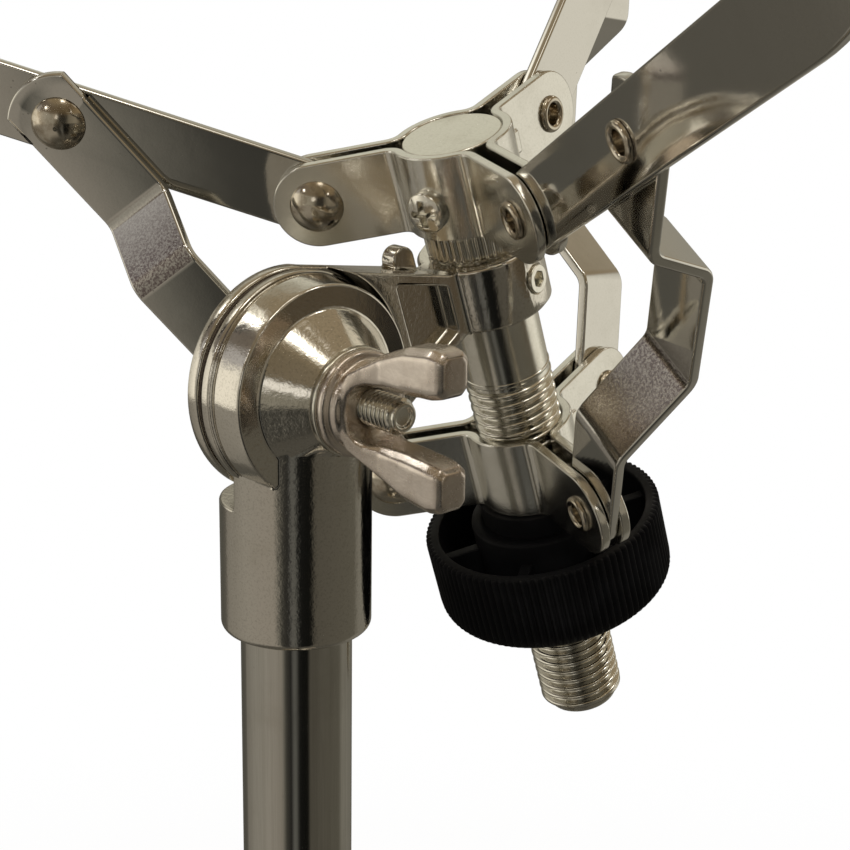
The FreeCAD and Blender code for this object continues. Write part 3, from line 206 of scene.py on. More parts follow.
# Radius and height of the tent's rings
TENT_PROFILE = ((0.01, TENT_FLOOR_LIFT), (TENT_RADIUS, TENT_FLOOR_LIFT), (TENT_RADIUS, 0.8 * TENT_HEIGHT),
                (0.7 * TENT_RADIUS, TENT_HEIGHT), (0.05, 1.05 * TENT_HEIGHT))
TENT_STEPS = 96
TENT_BLUR = 0.04            # half height over which the bands of the walls blend
CEILING_BLEND = (1.3, 1.6)
PATCH_CORE = 0.4            # share of a patch's reach that has its full tone


# Node trees
class Level:
    """A number that varies over a surface or a mesh; sums and products of it add Math nodes."""

    def __init__(self, graph, socket):
        self.graph = graph
        self.socket = socket

    def math(self, operation, *values):
        made = self.graph.node("ShaderNodeMath", {"operation": operation}, dict(enumerate(values)))
        return Level(self.graph, made.outputs[0])

    def __add__(self, other):
        return self.math("ADD", self, other)

    def __radd__(self, other):
        return self.math("ADD", other, self)

    def __sub__(self, other):
        return self.math("SUBTRACT", self, other)

    def __rsub__(self, other):
        return self.math("SUBTRACT", other, self)

    def __mul__(self, other):
        return self.math("MULTIPLY", self, other)

    def __truediv__(self, other):
        return self.math("DIVIDE", self, other)

    def __gt__(self, other):
        return self.math("GREATER_THAN", self, other)

    def __lt__(self, other):
        return self.math("LESS_THAN", self, other)

    def fraction(self):
        return self.math("FRACT", self)

    def absolute(self):
        return self.math("ABSOLUTE", self)

    def cosine(self):
        return self.math("COSINE", self)

    def sine(self):
        return self.math("SINE", self)

    def most(self, other):
        return self.math("MAXIMUM", self, other)

    def angle_from(self, across):
        return self.math("ARCTAN2", self, across)

    def ramped(self, low, high):
        """Smooth step from 0 at low to 1 at high."""
        made = self.graph.node("ShaderNodeMapRange", {"interpolation_type": "SMOOTHSTEP"},
                               {"Value": self, "From Min": low, "From Max": high})
        return Level(self.graph, made.outputs[0])


class Graph:
    """A node tree under construction."""

    def __init__(self, tree):
        self.tree = tree
        self.tree.nodes.clear()

    def node(self, kind, settings=None, inputs=None):
        made = self.tree.nodes.new(kind)
        for name, value in (settings or {}).items():
            if name == "stops":
                self.set_stops(made.color_ramp, value)
            else:
                setattr(made, name, value)
        for key, value in (inputs or {}).items():
            self.feed(made.inputs[key], value)
        return made

    def feed(self, socket, value):
        if isinstance(value, Level):
            value = value.socket
        if isinstance(value, bpy.types.NodeSocket):
            self.tree.links.new(value, socket)
        elif socket.type == "RGBA" and len(value) == 3:
            socket.default_value = (*value, 1)
        else:
            socket.default_value = value

    def set_stops(self, ramp, stops):
        while len(ramp.elements) > 1:
            ramp.elements.remove(ramp.elements[-1])
        for index, (place, colour) in enumerate(stops):
            element = ramp.elements[0] if index == 0 else ramp.elements.new(place)
            element.position = place
            element.color = (*colour, 1)

    def level(self, socket):
        return Level(self, socket)


class MeshRule(Graph):
    """A Geometry Nodes tree with named inputs."""

    def __init__(self, name, sizes, counts):
        tree = bpy.data.node_groups.new(name, "GeometryNodeTree")
        super().__init__(tree)
        tree.interface.new_socket("Geometry", in_out="OUTPUT", socket_type="NodeSocketGeometry")
        for label in sizes:
            tree.interface.new_socket(label, in_out="INPUT", socket_type="NodeSocketFloat")
        for label in counts:
            tree.interface.new_socket(label, in_out="INPUT", socket_type="NodeSocketInt")
        tree.interface.new_socket("Material", in_out="INPUT", socket_type="NodeSocketMaterial")
        self.source = self.node("NodeGroupInput")

    def size(self, label):
        return self.level(self.source.outputs[label])

    def close(self, geometry):
        """Ends the tree: real geometry with its material."""
        real = self.node("GeometryNodeRealizeInstances", None, {"Geometry": geometry})
        dressed = self.node("GeometryNodeSetMaterial", None,
                            {"Geometry": real.outputs[0], "Material": self.source.outputs["Material"]})
        self.node("NodeGroupOutput", None, {0: dressed.outputs[0]})

    def mesh(self, material, **values):
        """Plain mesh made by the tree with these inputs."""
        work = in_scene("work", bpy.data.meshes.new("work"))
        modifier = work.modifiers.new("rule", "NODES")
        modifier.node_group = self.tree
        for item in self.tree.interface.items_tree:
            if item.in_out == "INPUT" and item.name == "Material":
                modifier[item.identifier] = material
            elif item.in_out == "INPUT":
                modifier[item.identifier] = values[item.name.replace(" ", "_").lower()]
        return evaluated(work)


class Finish(Graph):
    """One procedural material on Object coordinates."""

    def __init__(self, name):
        self.material = bpy.data.materials.new(name)
        self.material.use_nodes = True
        super().__init__(self.material.node_tree)
        self.place = self.node("ShaderNodeTexCoord").outputs["Object"]

    def noise(self, scale, detail=2.0, roughness=0.5, stretch=None):
        place = self.place
        if stretch:
            place = self.node("ShaderNodeMapping", None, {"Vector": place, "Scale": stretch}).outputs[0]
        made = self.node("ShaderNodeTexNoise", None,
                         {"Vector": place, "Scale": scale, "Detail": detail, "Roughness": roughness})
        return self.level(made.outputs[0])

    def cells(self, scale):
        made = self.node("ShaderNodeTexVoronoi", None, {"Vector": self.place, "Scale": scale})
        return self.level(made.outputs["Distance"])

    def mix(self, share, first, second):
        made = self.node("ShaderNodeMix", {"data_type": "RGBA"},
                         {"Factor": share, "A": first, "B": second})
        return made.outputs["Result"]

    def bump(self, height, strength, depth, under=None):
        inputs = {"Height": height, "Strength": strength, "Distance": depth}
        if under:
            inputs["Normal"] = under
        return self.node("ShaderNodeBump", None, inputs).outputs[0]

    def close(self, shader):
        """Ends the tree with a shader."""
        self.node("ShaderNodeOutputMaterial", None, {"Surface": shader.outputs[0]})
        return self.material

    def surface(self, **inputs):
        return self.close(self.node("ShaderNodeBsdfPrincipled", None,
                                    {name.replace("_", " "): value for name, value in inputs.items()}))


# Finishes
def plated(name, bright, dull, gloss, grain_depth, peel_depth, pits, drawn=False):
    """Chrome plate: waves of the base metal, orange peel, fine pitted grain, dull blotches, a few dark
    specks, streaks along a drawn tube, and scratches with a painted shade of dark purple where a piece's
    faces are marked for them."""
    finish = Finish(name)
    wave = finish.noise(110, 2)
    peel = finish.noise(900, 2)
    grain = finish.noise(2600, 3, 0.6, (1, 1, 0.04) if drawn else None)
    blotch = finish.noise(70, 4, 0.6).ramped(0.48, 0.72)
    speck = 1 - finish.cells(420).ramped(0.03, 0.09)
    speck = speck * finish.noise(55).ramped(0.52, 0.62)
    colour = finish.mix(blotch * 0.55, bright, dull)
    colour = finish.mix(speck * 0.6, colour, tuple(0.45 * tone for tone in dull))
    colour = finish.mix(grain.ramped(0.46, 0.74) * pits, colour, tuple(0.4 * tone for tone in dull))
    rough = gloss + blotch * 0.05 + grain * 0.04 + speck * 0.25
    normal = finish.bump(wave, 0.35, 5e-5)
    normal = finish.bump(peel, 0.35, peel_depth, normal)
    normal = finish.bump(grain, 0.7, grain_depth, normal)
    if drawn:
        streak = finish.noise(800, 3, 0.6, (1, 1, 0.008)).ramped(0.38, 0.68)
        colour = finish.mix(streak * 0.5, colour, tuple(0.86 * tone for tone in dull))
        rough = rough + streak * 0.06
    mark = finish.node("ShaderNodeAttribute", {"attribute_name": "scuffed"})
    scuffed = finish.level(mark.outputs["Fac"])
    scratch = finish.noise(2300, 3, 0.7)
    # painted shade: marked faces darken towards a dark purple, streaked by the scratch pattern
    colour = finish.mix(scuffed * (0.3 + scratch.ramped(0.40, 0.60) * 0.6), colour, (0.16, 0.12, 0.125))
    rough = rough + scuffed * 0.05
    normal = finish.bump(scratch * scuffed, 0.7, 6e-5, normal)
    return finish.surface(Base_Color=colour, Metallic=1.0, Roughness=rough, Normal=normal)


PLATINGS = {
    "chrome_tube": {
        "bright": (0.67, 0.655, 0.61), "dull": (0.56, 0.54, 0.49), "gloss": 0.05,
        "grain_depth": 2e-6, "peel_depth": 3e-6, "pits": 0.12, "drawn": True},
    "chrome_casting": {
        "bright": (0.72, 0.69, 0.63), "dull": (0.59, 0.555, 0.48), "gloss": 0.06,
        "grain_depth": 2.2e-5, "peel_depth": 7e-5, "pits": 0.26},
    "chrome_strip": {
        "bright": (0.67, 0.655, 0.615), "dull": (0.58, 0.565, 0.52), "gloss": 0.03,
        "grain_depth": 2e-6, "peel_depth": 5e-6, "pits": 0.08},
    "pressed_strip": {
        "bright": (0.77, 0.755, 0.70), "dull": (0.65, 0.63, 0.57), "gloss": 0.15,
        "grain_depth": 2.0e-5, "peel_depth": 3e-5, "pits": 0.12},
    "bright_steel": {
        "bright": (0.80, 0.78, 0.71), "dull": (0.64, 0.61, 0.53), "gloss": 0.14,
        "grain_depth": 3e-6, "peel_depth": 1.5e-5, "pits": 0.15},
}


def nickel_rivet():
    """Rivet steel under worn nickel: warm, with brown left in the hollows."""
    finish = Finish("nickel_rivet")
    wear = finish.noise(420, 4, 0.65).ramped(0.40, 0.68)
    grain = finish.noise(3200, 2)
    colour = finish.mix(wear, (0.62, 0.57, 0.48), (0.40, 0.34, 0.26))
    rough = 0.08 + wear * 0.14 + grain * 0.05
    normal = finish.bump(finish.noise(380, 2), 0.4, 1.2e-4)
    normal = finish.bump(grain, 0.25, 8e-6, normal)
    return finish.surface(Base_Color=colour, Metallic=1.0, Roughness=rough, Normal=normal)


def nickel_casting():
    """Tumbled casting under dull nickel, pinkish grey, with pits and rubbed high spots."""
    finish = Finish("nickel_casting")
    cloud = finish.noise(160, 4, 0.6)
    grain = finish.noise(1500, 4, 0.65)
    pit = 1 - finish.cells(520).ramped(0.05, 0.16)
    pit = pit * finish.noise(90).ramped(0.5, 0.62)
    colour = finish.mix(cloud.ramped(0.35, 0.7), (0.76, 0.69, 0.63), (0.60, 0.53, 0.47))
    colour = finish.mix(pit * 0.7, colour, (0.22, 0.18, 0.15))
    rough = 0.16 + cloud * 0.12 + grain * 0.08
    normal = finish.bump(cloud, 0.5, 1.2e-4)
    normal = finish.bump(grain - pit, 0.45, 2.2e-5, normal)
    return finish.surface(Base_Color=colour, Metallic=1.0, Roughness=rough, Normal=normal)


def black_plastic():
    """Moulded black plastic with a spark-eroded grain and hand-polished patches."""
    finish = Finish("black_plastic")
    grain = finish.noise(3000, 3, 0.6)
    polish = finish.noise(90, 3).ramped(0.42, 0.68)
    colour = finish.mix(polish, (0.003, 0.003, 0.0034), (0.006, 0.006, 0.0065))
    rough = 0.50 - polish * 0.14 + grain * 0.08
    normal = finish.bump(grain, 0.35, 1.5e-5)
    return finish.surface(Base_Color=colour, Roughness=rough, Normal=normal, Specular_IOR_Level=0.10)


def black_rubber():
    finish = Finish("black_rubber")
    grain = finish.noise(1900, 4, 0.6)
    dust = finish.noise(60, 4, 0.65).ramped(0.48, 0.78)
    colour = finish.mix(dust * 0.6, (0.016, 0.016, 0.017), (0.055, 0.053, 0.050))
    rough = 0.66 + dust * 0.16 + grain * 0.08
    normal = finish.bump(grain, 0.5, 3e-5)
    return finish.surface(Base_Color=colour, Roughness=rough, Normal=normal)


def grey_nylon():
    finish = Finish("grey_nylon")
    cloud = finish.noise(210, 3)
    colour = finish.mix(cloud, (0.075, 0.075, 0.080), (0.11, 0.11, 0.115))
    rough = 0.42 + cloud * 0.12
    normal = finish.bump(finish.noise(2400, 2), 0.3, 1.2e-5)
    return finish.surface(Base_Color=colour, Roughness=rough, Normal=normal)


def dark_fibre():
    finish = Finish("dark_fibre")
    fibre = finish.noise(900, 5, 0.7, (1, 0.15, 1))
    colour = finish.mix(fibre, (0.035, 0.026, 0.020), (0.10, 0.080, 0.062))
    rough = 0.68 + fibre * 0.2
    normal = finish.bump(fibre, 0.5, 4e-5)
    return finish.surface(Base_Color=colour, Roughness=rough, Normal=normal)


FINISHES = {name: plated(name, **look) for name, look in PLATINGS.items()}
for make in (nickel_rivet, nickel_casting, black_plastic, black_rubber, grey_nylon, dark_fibre):
    FINISHES[make.__name__] = make()
HUB_PLATES = ("upper_hub_plate", "lower_hub_plate")
PRESSED = [f"{family}_{number}" for family in HUB_PLATES for number in THREE]


def finish_of(node):
    """The finish of a node's slot; the pressed hub plates have a duller strip."""
    return FINISHES["pressed_strip" if node in PRESSED else SLOTS[node]]


# Shape helpers
def in_scene(name, data):
    """A new object in the scene."""
    made = bpy.data.objects.new(name, data)
    bpy.context.scene.collection.objects.link(made)
    return made


def piece(name, mesh, node):
    """A finished mesh as the piece that stands for a CAD node, on its body and with its finish."""
    made = in_scene(name, mesh)
    mesh.materials.clear()
    mesh.materials.append(finish_of(node))
    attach(made, NODE_BODY[node])
    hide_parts(node)


def evaluated(source):
    """Plain mesh of an object with its modifiers applied; the object goes."""
    bpy.context.view_layer.update()
    graph = bpy.context.evaluated_depsgraph_get()
    mesh = bpy.data.meshes.new_from_object(source.evaluated_get(graph), depsgraph=graph)
    bpy.data.objects.remove(source)
    return mesh


def finished(shape, name):
    """Plain mesh of a shape in edit; the shape goes."""
    mesh = bpy.data.meshes.new(name)
    shape.to_mesh(mesh)
    shape.free()
    return mesh


def joined_flats(shape):
    """Joins the triangles of a mesh in edit and dissolves its flats."""
    bmesh.ops.remove_doubles(shape, verts=shape.verts, dist=WELD)
    bmesh.ops.dissolve_limit(shape, angle_limit=FLAT_ANGLE, verts=shape.verts, edges=shape.edges)


def press_tabs_flat(shape):
    """Presses the small tabs of a hub plate's ears down to the ears."""
    for face in shape.faces:
        if len(face.verts) == 4 and abs(face.calc_area() / TAB_AREA - 1) < TAB_AREA_TOLERANCE:
            for vert in face.verts:
                vert.co -= face.normal * TAB_PROUD
    joined_flats(shape)


def close_steps(shape):
    """Closes the small steps between the tilter's web and the chamfers of its disc."""
    steps = [edge for edge in shape.edges
             if STEP_LENGTHS[0] < edge.calc_length() < STEP_LENGTHS[1]
             and STEP_ANGLES[0] < edge.calc_face_angle(0) < STEP_ANGLES[1]]
    bmesh.ops.collapse(shape, edges=steps)


def strut_pivot(node):
    """Place of a strut's upper rivet and the direction that its flats face."""
    joint = JOINTS[node.replace("strut", "strut_turn")]
    return Vector(joint["pos_m"]), Vector(joint["axis"]).normalized()


def lengthen_end(shape, node):
    """Gives a strut's upper end shoulders and a flatter arc between them."""
    pivot, flat = strut_pivot(node)
    far = max((vert.co - pivot for vert in shape.verts), key=lambda reach: reach.length)
    out = -(far - flat * far.dot(flat)).normalized()
    side = flat.cross(out)
    drop = math.sqrt(STRUT_ARC ** 2 - STRUT_HALF_WIDTH ** 2)

    def spread(vert):
        reach = vert.co - pivot
        return reach.dot(out), min(abs(reach.dot(side)), STRUT_HALF_WIDTH)

    def on_rim(vert):
        rise, aside = spread(vert)
        return rise > -STRUT_RIM_SLACK and math.hypot(rise, aside) > STRUT_RIM

    edge_faces = [face for face in shape.faces if abs(face.normal.dot(flat)) < ON_EDGE]
    rim = [face for face in edge_faces if all(on_rim(vert) for vert in face.verts)]
    for part in bmesh.ops.extrude_face_region(shape, geom=rim)["geom"]:
        if isinstance(part, bmesh.types.BMVert):
            rise, aside = spread(part)
            arc = math.sqrt(STRUT_ARC ** 2 - aside ** 2) - drop
            part.co += out * (STRUT_SHOULDER + arc - rise)


def scuff_crank(mesh, pivot, flat, begin, full):
    """Marks the turned faces of a strut's crank for scratches and painted shade, more from begin to full, as
    distances from the pivot.
    """
    def turned_by(face, turn):
        return turn[0] < abs(face.normal.dot(flat)) < turn[1]

    cranked = [face for face in mesh.polygons if turned_by(face, CRANK_TURN)]
    side = flat.cross(max(cranked, key=lambda face: face.area).normal).normalized()
    scuffed = mesh.attributes.new("scuffed", "FLOAT", "CORNER")
    for face in mesh.polygons:
        bent = turned_by(face, BEND_TURN)
        square = abs(face.normal.dot(side)) < BEND_SQUARE
        near = abs((face.center - pivot).length - (begin + full) / 2) < SCUFF_AND_SHADE_REACH
        if bent and square and near:
            for corner in face.loop_indices:
                place = mesh.vertices[mesh.loops[corner].vertex_index].co
                share = ((place - pivot).length - begin) / (full - begin)
                scuffed.data[corner].value = min(max(share, 0), 1)


def welded(node):
    """Copy of a CAD node's mesh with its triangles joined, its flats dissolved and its small forms mended."""
    shape = bmesh.new()
    shape.from_mesh(frame["nodes"][node].data)
    joined_flats(shape)
    if node in TABLESS:
        press_tabs_flat(shape)
    if node == "tilter_arm":
        close_steps(shape)
    if node in STRUTS:
        lengthen_end(shape, node)
    for face in shape.faces:
        face.smooth = True
    return finished(shape, node)


def eased(mesh, edge, segments=2):
    """Mesh with its sharp edges rounded and its flats shaded flat."""
    work = in_scene("work", mesh)
    bevel = work.modifiers.new("edges", "BEVEL")
    bevel.width = edge
    bevel.segments = segments
    bevel.limit_method = "ANGLE"
    bevel.angle_limit = SHARP_ANGLE
    bevel.use_clamp_overlap = False
    bevel.miter_outer = "MITER_ARC"
    weigh = work.modifiers.new("normals", "WEIGHTED_NORMAL")
    weigh.keep_sharp = False
    return evaluated(work)


def rounded(node, edge):
    """Piece like a CAD node, with its sharp edges rounded."""
    piece(node + "_rounded", eased(welded(node), edge), node)


def softened(mesh):
    """Mesh with the soft edges and hollows of a casting."""
    work = in_scene("work", mesh)
    skin = work.modifiers.new("skin", "REMESH")
    skin.mode = "VOXEL"
    skin.voxel_size = CAST_GRAIN
    skin.use_smooth_shade = True
    soft = work.modifiers.new("soft", "SMOOTH")
    soft.factor = CAST_SMOOTHING
    soft.iterations = CAST_PASSES
    return evaluated(work)


def ring_loft(rings, closed=False):
    """Mesh through rings of points with equal counts; a ring of one point is a pole."""
    shape = bmesh.new()
    rows = [[shape.verts.new(point) for point in ring] for ring in rings]
    pairs = list(zip(rows, rows[1:])) + ([(rows[-1], rows[0])] if closed else [])
    for low, high in pairs:
        count = max(len(low), len(high))
        for step in range(count):
            after = (step + 1) % count
            corners = [low[step % len(low)], low[after % len(low)],
                       high[after % len(high)], high[step % len(high)]]
            shape.faces.new(list(dict.fromkeys(corners)))
    for face in shape.faces:
        face.smooth = True
    bmesh.ops.recalc_face_normals(shape, faces=shape.faces)
    return finished(shape, "loft")


def circle(radius, height, steps=ROUND_STEPS):
    if radius == 0:
        return [Vector((0, 0, height))]
    turns = [2 * math.pi * step / steps for step in range(steps)]
    return [Vector((radius * math.cos(turn), radius * math.sin(turn), height)) for turn in turns]


def turned(profile):
    """Solid of revolution about +Z from radius and height pairs."""
    return ring_loft([circle(radius, height) for radius, height in profile])


def dome(radius, foot, height, steps=10):
    """Profile of a round head from its rim up to its pole."""
    turns = [math.pi / 2 * step / steps for step in range(steps)]
    arc = [(radius * math.cos(turn), foot + height * math.sin(turn)) for turn in turns]
    return arc + [(0, foot + height)]


def bar(low, high):
    """Block between two corners."""
    corners = ((low[0], low[1]), (high[0], low[1]), (high[0], high[1]), (low[0], high[1]))
    shape = bmesh.new()
    bottom, top = ([shape.verts.new((x, y, z)) for x, y in corners] for z in (low[2], high[2]))
    shape.faces.new(bottom[::-1])
    shape.faces.new(top)
    for step in range(len(corners)):
        shape.faces.new((bottom[step - 1], bottom[step], top[step], top[step - 1]))
    return finished(shape, "bar")


def together(place, *meshes):
    """One mesh of several, moved from millimetres to their place."""
    shape = bmesh.new()
    for mesh in meshes:
        shape.from_mesh(mesh)
    made = finished(shape, "joined")
    made.transform(place)
    return made


# Turned and threaded pieces
ROD_AXIS = Vector(JOINTS["grip_knob_turn"]["axis"]).normalized()
ROD_FOOT = Vector(JOINTS["grip_knob_turn"]["pos_m"]) - ROD_AXIS * LOWER_HUB_HEIGHT * MILLIMETRE
TILTER_MIDDLE = Vector(JOINTS["tilt"]["pos_m"])
NUT_AXIS = Vector(JOINTS["tilter_nut_turn"]["axis"]).normalized()


def axis_place(foot, axis):
    """From millimetres about +Z to metres about an axis of the stand."""
    turn = axis.to_track_quat("Z", "Y").to_matrix().to_4x4()
    return Matrix.Translation(foot) @ turn @ Matrix.Scale(MILLIMETRE, 4)


def grooved_rod():
    """Round bar whose rim has grooves that run along it, round it or both, as a thread does."""
    rule = MeshRule("grooved_rod",
                    ("Radius", "Length", "Depth", "Grooves Along", "Grooves Around", "Fade Low", "Fade High"),
                    ("Columns", "Rows"))
    sheet = rule.node("GeometryNodeMeshGrid", None, {
        "Size X": 1.0, "Size Y": 1.0,
        "Vertices X": rule.size("Columns"), "Vertices Y": rule.size("Rows")})
    place = rule.node("GeometryNodeInputPosition")
    spot = rule.node("ShaderNodeSeparateXYZ", None, {0: place.outputs[0]})
    around = rule.level(spot.outputs["X"]) + 0.5
    along = rule.level(spot.outputs["Y"]) + 0.5
    height = along * rule.size("Length")
    phase = (height * rule.size("Grooves Along") - around * rule.size("Grooves Around")).fraction()
    groove = (phase * 2 - 1).absolute().ramped(*GROOVE_FLANK)
    fade_low = height.ramped(0.0, rule.size("Fade Low"))
    fade_high = (rule.size("Length") - height).ramped(0.0, rule.size("Fade High"))
    fade = fade_low * fade_high
    inside = (along > GROOVE_SLACK) * (along < 1 - GROOVE_SLACK)
    reach = (rule.size("Radius") - rule.size("Depth") * groove * fade) * inside
    turn = around * (2 * math.pi)
    rim = rule.node("ShaderNodeCombineXYZ", None,
                    {0: reach * turn.cosine(), 1: reach * turn.sine(), 2: height})
    placed = rule.node("GeometryNodeSetPosition", None,
                       {"Geometry": sheet.outputs[0], "Position": rim.outputs[0]})
    closed = rule.node("GeometryNodeMergeByDistance", None,
                       {"Geometry": placed.outputs[0], "Distance": GROOVE_SLACK})
    smooth = rule.node("GeometryNodeSetShadeSmooth", None, {"Geometry": closed.outputs[0]})
    rule.close(smooth.outputs[0])
    return rule


GROOVED_ROD = grooved_rod()


def thread(node, radius, depth, pitch, length, fade_low, fade_high, columns):
    """Rod with one helical groove that fades out at both ends."""
    return GROOVED_ROD.mesh(
        finish_of(node), radius=radius, length=length, depth=depth, grooves_along=1 / pitch,
        grooves_around=1.0, fade_low=fade_low, fade_high=fade_high, columns=columns,
        rows=round(length / pitch * THREAD_ROWS_PER_TURN))


def basket_rod():
    """Plain rod with a thicker head, a knurled band, a rolled thread and a rounded end."""
    head_foot = KNURL_BOTTOM + KNURL_LENGTH
    body_foot = ROD_BOTTOM + THREAD_LENGTH - THREAD_PITCH
    body = turned([(0, body_foot), (ROD_RADIUS, body_foot), (ROD_RADIUS, head_foot),
                   (ROD_HEAD_RADIUS, head_foot), (ROD_HEAD_RADIUS, ROD_TOP), (0, ROD_TOP)])
    body = eased(body, ROD_EDGE, 3)
    core = THREAD_RADIUS - THREAD_DEPTH
    end_top = ROD_BOTTOM + 2 * THREAD_PITCH
    end = turned([(0, end_top), (core, end_top), (core, ROD_BOTTOM), (0, ROD_BOTTOM)])
    end = eased(end, ROD_END_EDGE, 4)
    screw = thread("basket_rod", THREAD_RADIUS, THREAD_DEPTH, THREAD_PITCH, THREAD_LENGTH - THREAD_PITCH,
                   THREAD_PITCH / 2, THREAD_RUNOUT, THREAD_COLUMNS)
    screw.transform(Matrix.Translation((0, 0, ROD_BOTTOM + THREAD_PITCH)))
    knurl = GROOVED_ROD.mesh(
        finish_of("basket_rod"), radius=KNURL_RADIUS, length=KNURL_LENGTH, depth=KNURL_DEPTH,
        grooves_along=0.0, grooves_around=float(KNURL_TEETH), fade_low=KNURL_FADE, fade_high=KNURL_FADE,
        columns=KNURL_TEETH * KNURL_COLUMNS_PER_TOOTH + 1, rows=KNURL_ROWS)
    knurl.transform(Matrix.Translation((0, 0, KNURL_BOTTOM)))
    return together(axis_place(ROD_FOOT, ROD_AXIS), body, end, screw, knurl)


def tilter_bolt():
    """Round-headed bolt through the tilter, threaded under the nut."""
    foot = BOLT_END - BOLT_THREAD_LENGTH
    crown = dome(BOLT_HEAD_RADIUS, 0, BOLT_HEAD_HEIGHT)
    head = turned([(0, BOLT_HEAD_SEAT)] + [(radius, BOLT_HEAD_SEAT - rise) for radius, rise in crown])
    head = eased(head, BOLT_EDGE)
    core = BOLT_RADIUS - BOLT_THREAD_DEPTH
    shank = turned([(0, BOLT_HEAD_SEAT), (BOLT_RADIUS, BOLT_HEAD_SEAT), (BOLT_RADIUS, foot + BOLT_PITCH),
                    (core, foot + BOLT_PITCH), (core, BOLT_END), (BOLT_CUP_RADIUS, BOLT_END),
                    (BOLT_CUP_RADIUS, BOLT_END - BOLT_CUP_DEPTH), (0, BOLT_END - BOLT_CUP_DEPTH)])
    shank = eased(shank, BOLT_EDGE, 3)
    screw = thread("tilter_bolt", BOLT_RADIUS, BOLT_THREAD_DEPTH, BOLT_PITCH,
                   BOLT_THREAD_LENGTH - BOLT_PITCH, BOLT_PITCH, BOLT_PITCH / 2, THREAD_COLUMNS // 2)
    screw.transform(Matrix.Translation((0, 0, foot)))
    return together(axis_place(TILTER_MIDDLE, NUT_AXIS), head, shank, screw)


def knob_ring(radius, height, ribs):
    """Ring of the knob's skin; ribs is the share of the full rib depth cut into it."""
    steps = KNOB_RIBS * KNOB_RIB_STEPS
    points = []
    for step in range(steps):
        turn = 2 * math.pi * step / steps
        wave = abs(2 * (step / KNOB_RIB_STEPS % 1) - 1)
        reach = radius - ribs * KNOB_RIB_DEPTH * (3 * wave ** 2 - 2 * wave ** 3)
        points.append(Vector((reach * math.cos(turn), reach * math.sin(turn), height)))
    return points


def knob():
    """Ribbed hand nut with a hollow top, a boss and spokes."""
    low = KNOB_RIM - KNOB_HEIGHT
    inner = KNOB_RADIUS - KNOB_WALL
    floor_height = low + KNOB_FLOOR
    boss_top = KNOB_RIM + KNOB_BOSS_PROUD
    bends = ((KNOB_RADIUS, low, KNOB_FOOT_SKIN), (KNOB_RADIUS, KNOB_RIM, KNOB_RIM_SKIN),
             (inner, KNOB_RIM, KNOB_LIP_SKIN), (inner, floor_height, KNOB_WALL_FOOT_SKIN),
             (KNOB_BOSS_RADIUS, floor_height, KNOB_BOSS_FOOT_SKIN),
             (KNOB_BOSS_RADIUS, boss_top, KNOB_BOSS_TOP_SKIN))
    skin = [(KNOB_BORE_RADIUS, low, 0)]
    for radius, level, bend in bends:
        skin += [(radius + out, level + rise, ribs) for out, rise, ribs in bend]
    skin.append((KNOB_BORE_RADIUS, boss_top, 0))
    shell = ring_loft([knob_ring(*ring) for ring in skin], closed=True)
    spokes = []
    for index in range(KNOB_SPOKES):
        spoke = bar((KNOB_BOSS_RADIUS - KNOB_SPOKE_SINK, -KNOB_SPOKE_WIDTH / 2,
                     floor_height - KNOB_SPOKE_SINK),
                    (inner + KNOB_SPOKE_SINK, KNOB_SPOKE_WIDTH / 2, KNOB_RIM - KNOB_SPOKE_DROP))
        spoke = eased(spoke, KNOB_SPOKE_EDGE)
        spoke.transform(Matrix.Rotation(2 * math.pi * index / KNOB_SPOKES, 4, "Z"))
        spokes.append(spoke)
    return together(axis_place(ROD_FOOT, ROD_AXIS), shell, *spokes)


def nut_section(across, height, thick, wide, lean, side):
    """Chamfered section of the wing nut, on one side of its axis."""
    chamfer = NUT_CHAMFER_SHARE * min(thick, wide)
    half = [(thick, wide - chamfer), (thick - chamfer, wide),
            (chamfer - thick, wide), (-thick, wide - chamfer)]
    lean = math.radians(lean)
    points = []
    for out, aside in half + [(-out, -aside) for out, aside in half]:
        reach = side * (across + out * math.cos(lean))
        points.append(Vector((reach, aside, height - out * math.sin(lean))))
    return points


def wing_nut():
    """Cast nut: two thick wings that run into each other in a saddle, over a stepped flange."""
    near, far = ([nut_section(*sizes, side) for sizes in NUT_SECTIONS] for side in (1, -1))
    rings = near + far[-2::-1]
    tips = [[sum(ring, Vector()) / len(ring)] for ring in (rings[0], rings[-1])]
    work = in_scene("work", ring_loft(tips[:1] + rings + tips[1:]))
    low, high = NUT_BORE_SPAN
    bore = [(0, low), (NUT_BORE_RADIUS, low), (NUT_BORE_RADIUS, high), (0, high)]
    others = [in_scene("work", turned(profile)) for profile in (NUT_FLANGE, bore)]
    for other, operation in zip(others, ("UNION", "DIFFERENCE")):
        merge = work.modifiers.new(operation.lower(), "BOOLEAN")
        merge.operation = operation
        merge.object = other
    mesh = evaluated(work)
    for other in others:
        bpy.data.objects.remove(other)
    up = Vector((0, 0, 1))
    turn = Matrix((up, NUT_AXIS.cross(up), NUT_AXIS)).transposed().to_4x4()
    seat = Matrix.Translation(TILTER_MIDDLE + NUT_AXIS * NUT_SEAT * MILLIMETRE)
    mesh.transform(seat @ turn @ Matrix.Scale(MILLIMETRE, 4))
    return softened(mesh)


piece("wing_nut_rounded", wing_nut(), "wing_nut")
for make in (basket_rod, tilter_bolt, knob):
    piece(make.__name__ + "_turned", make(), make.__name__)

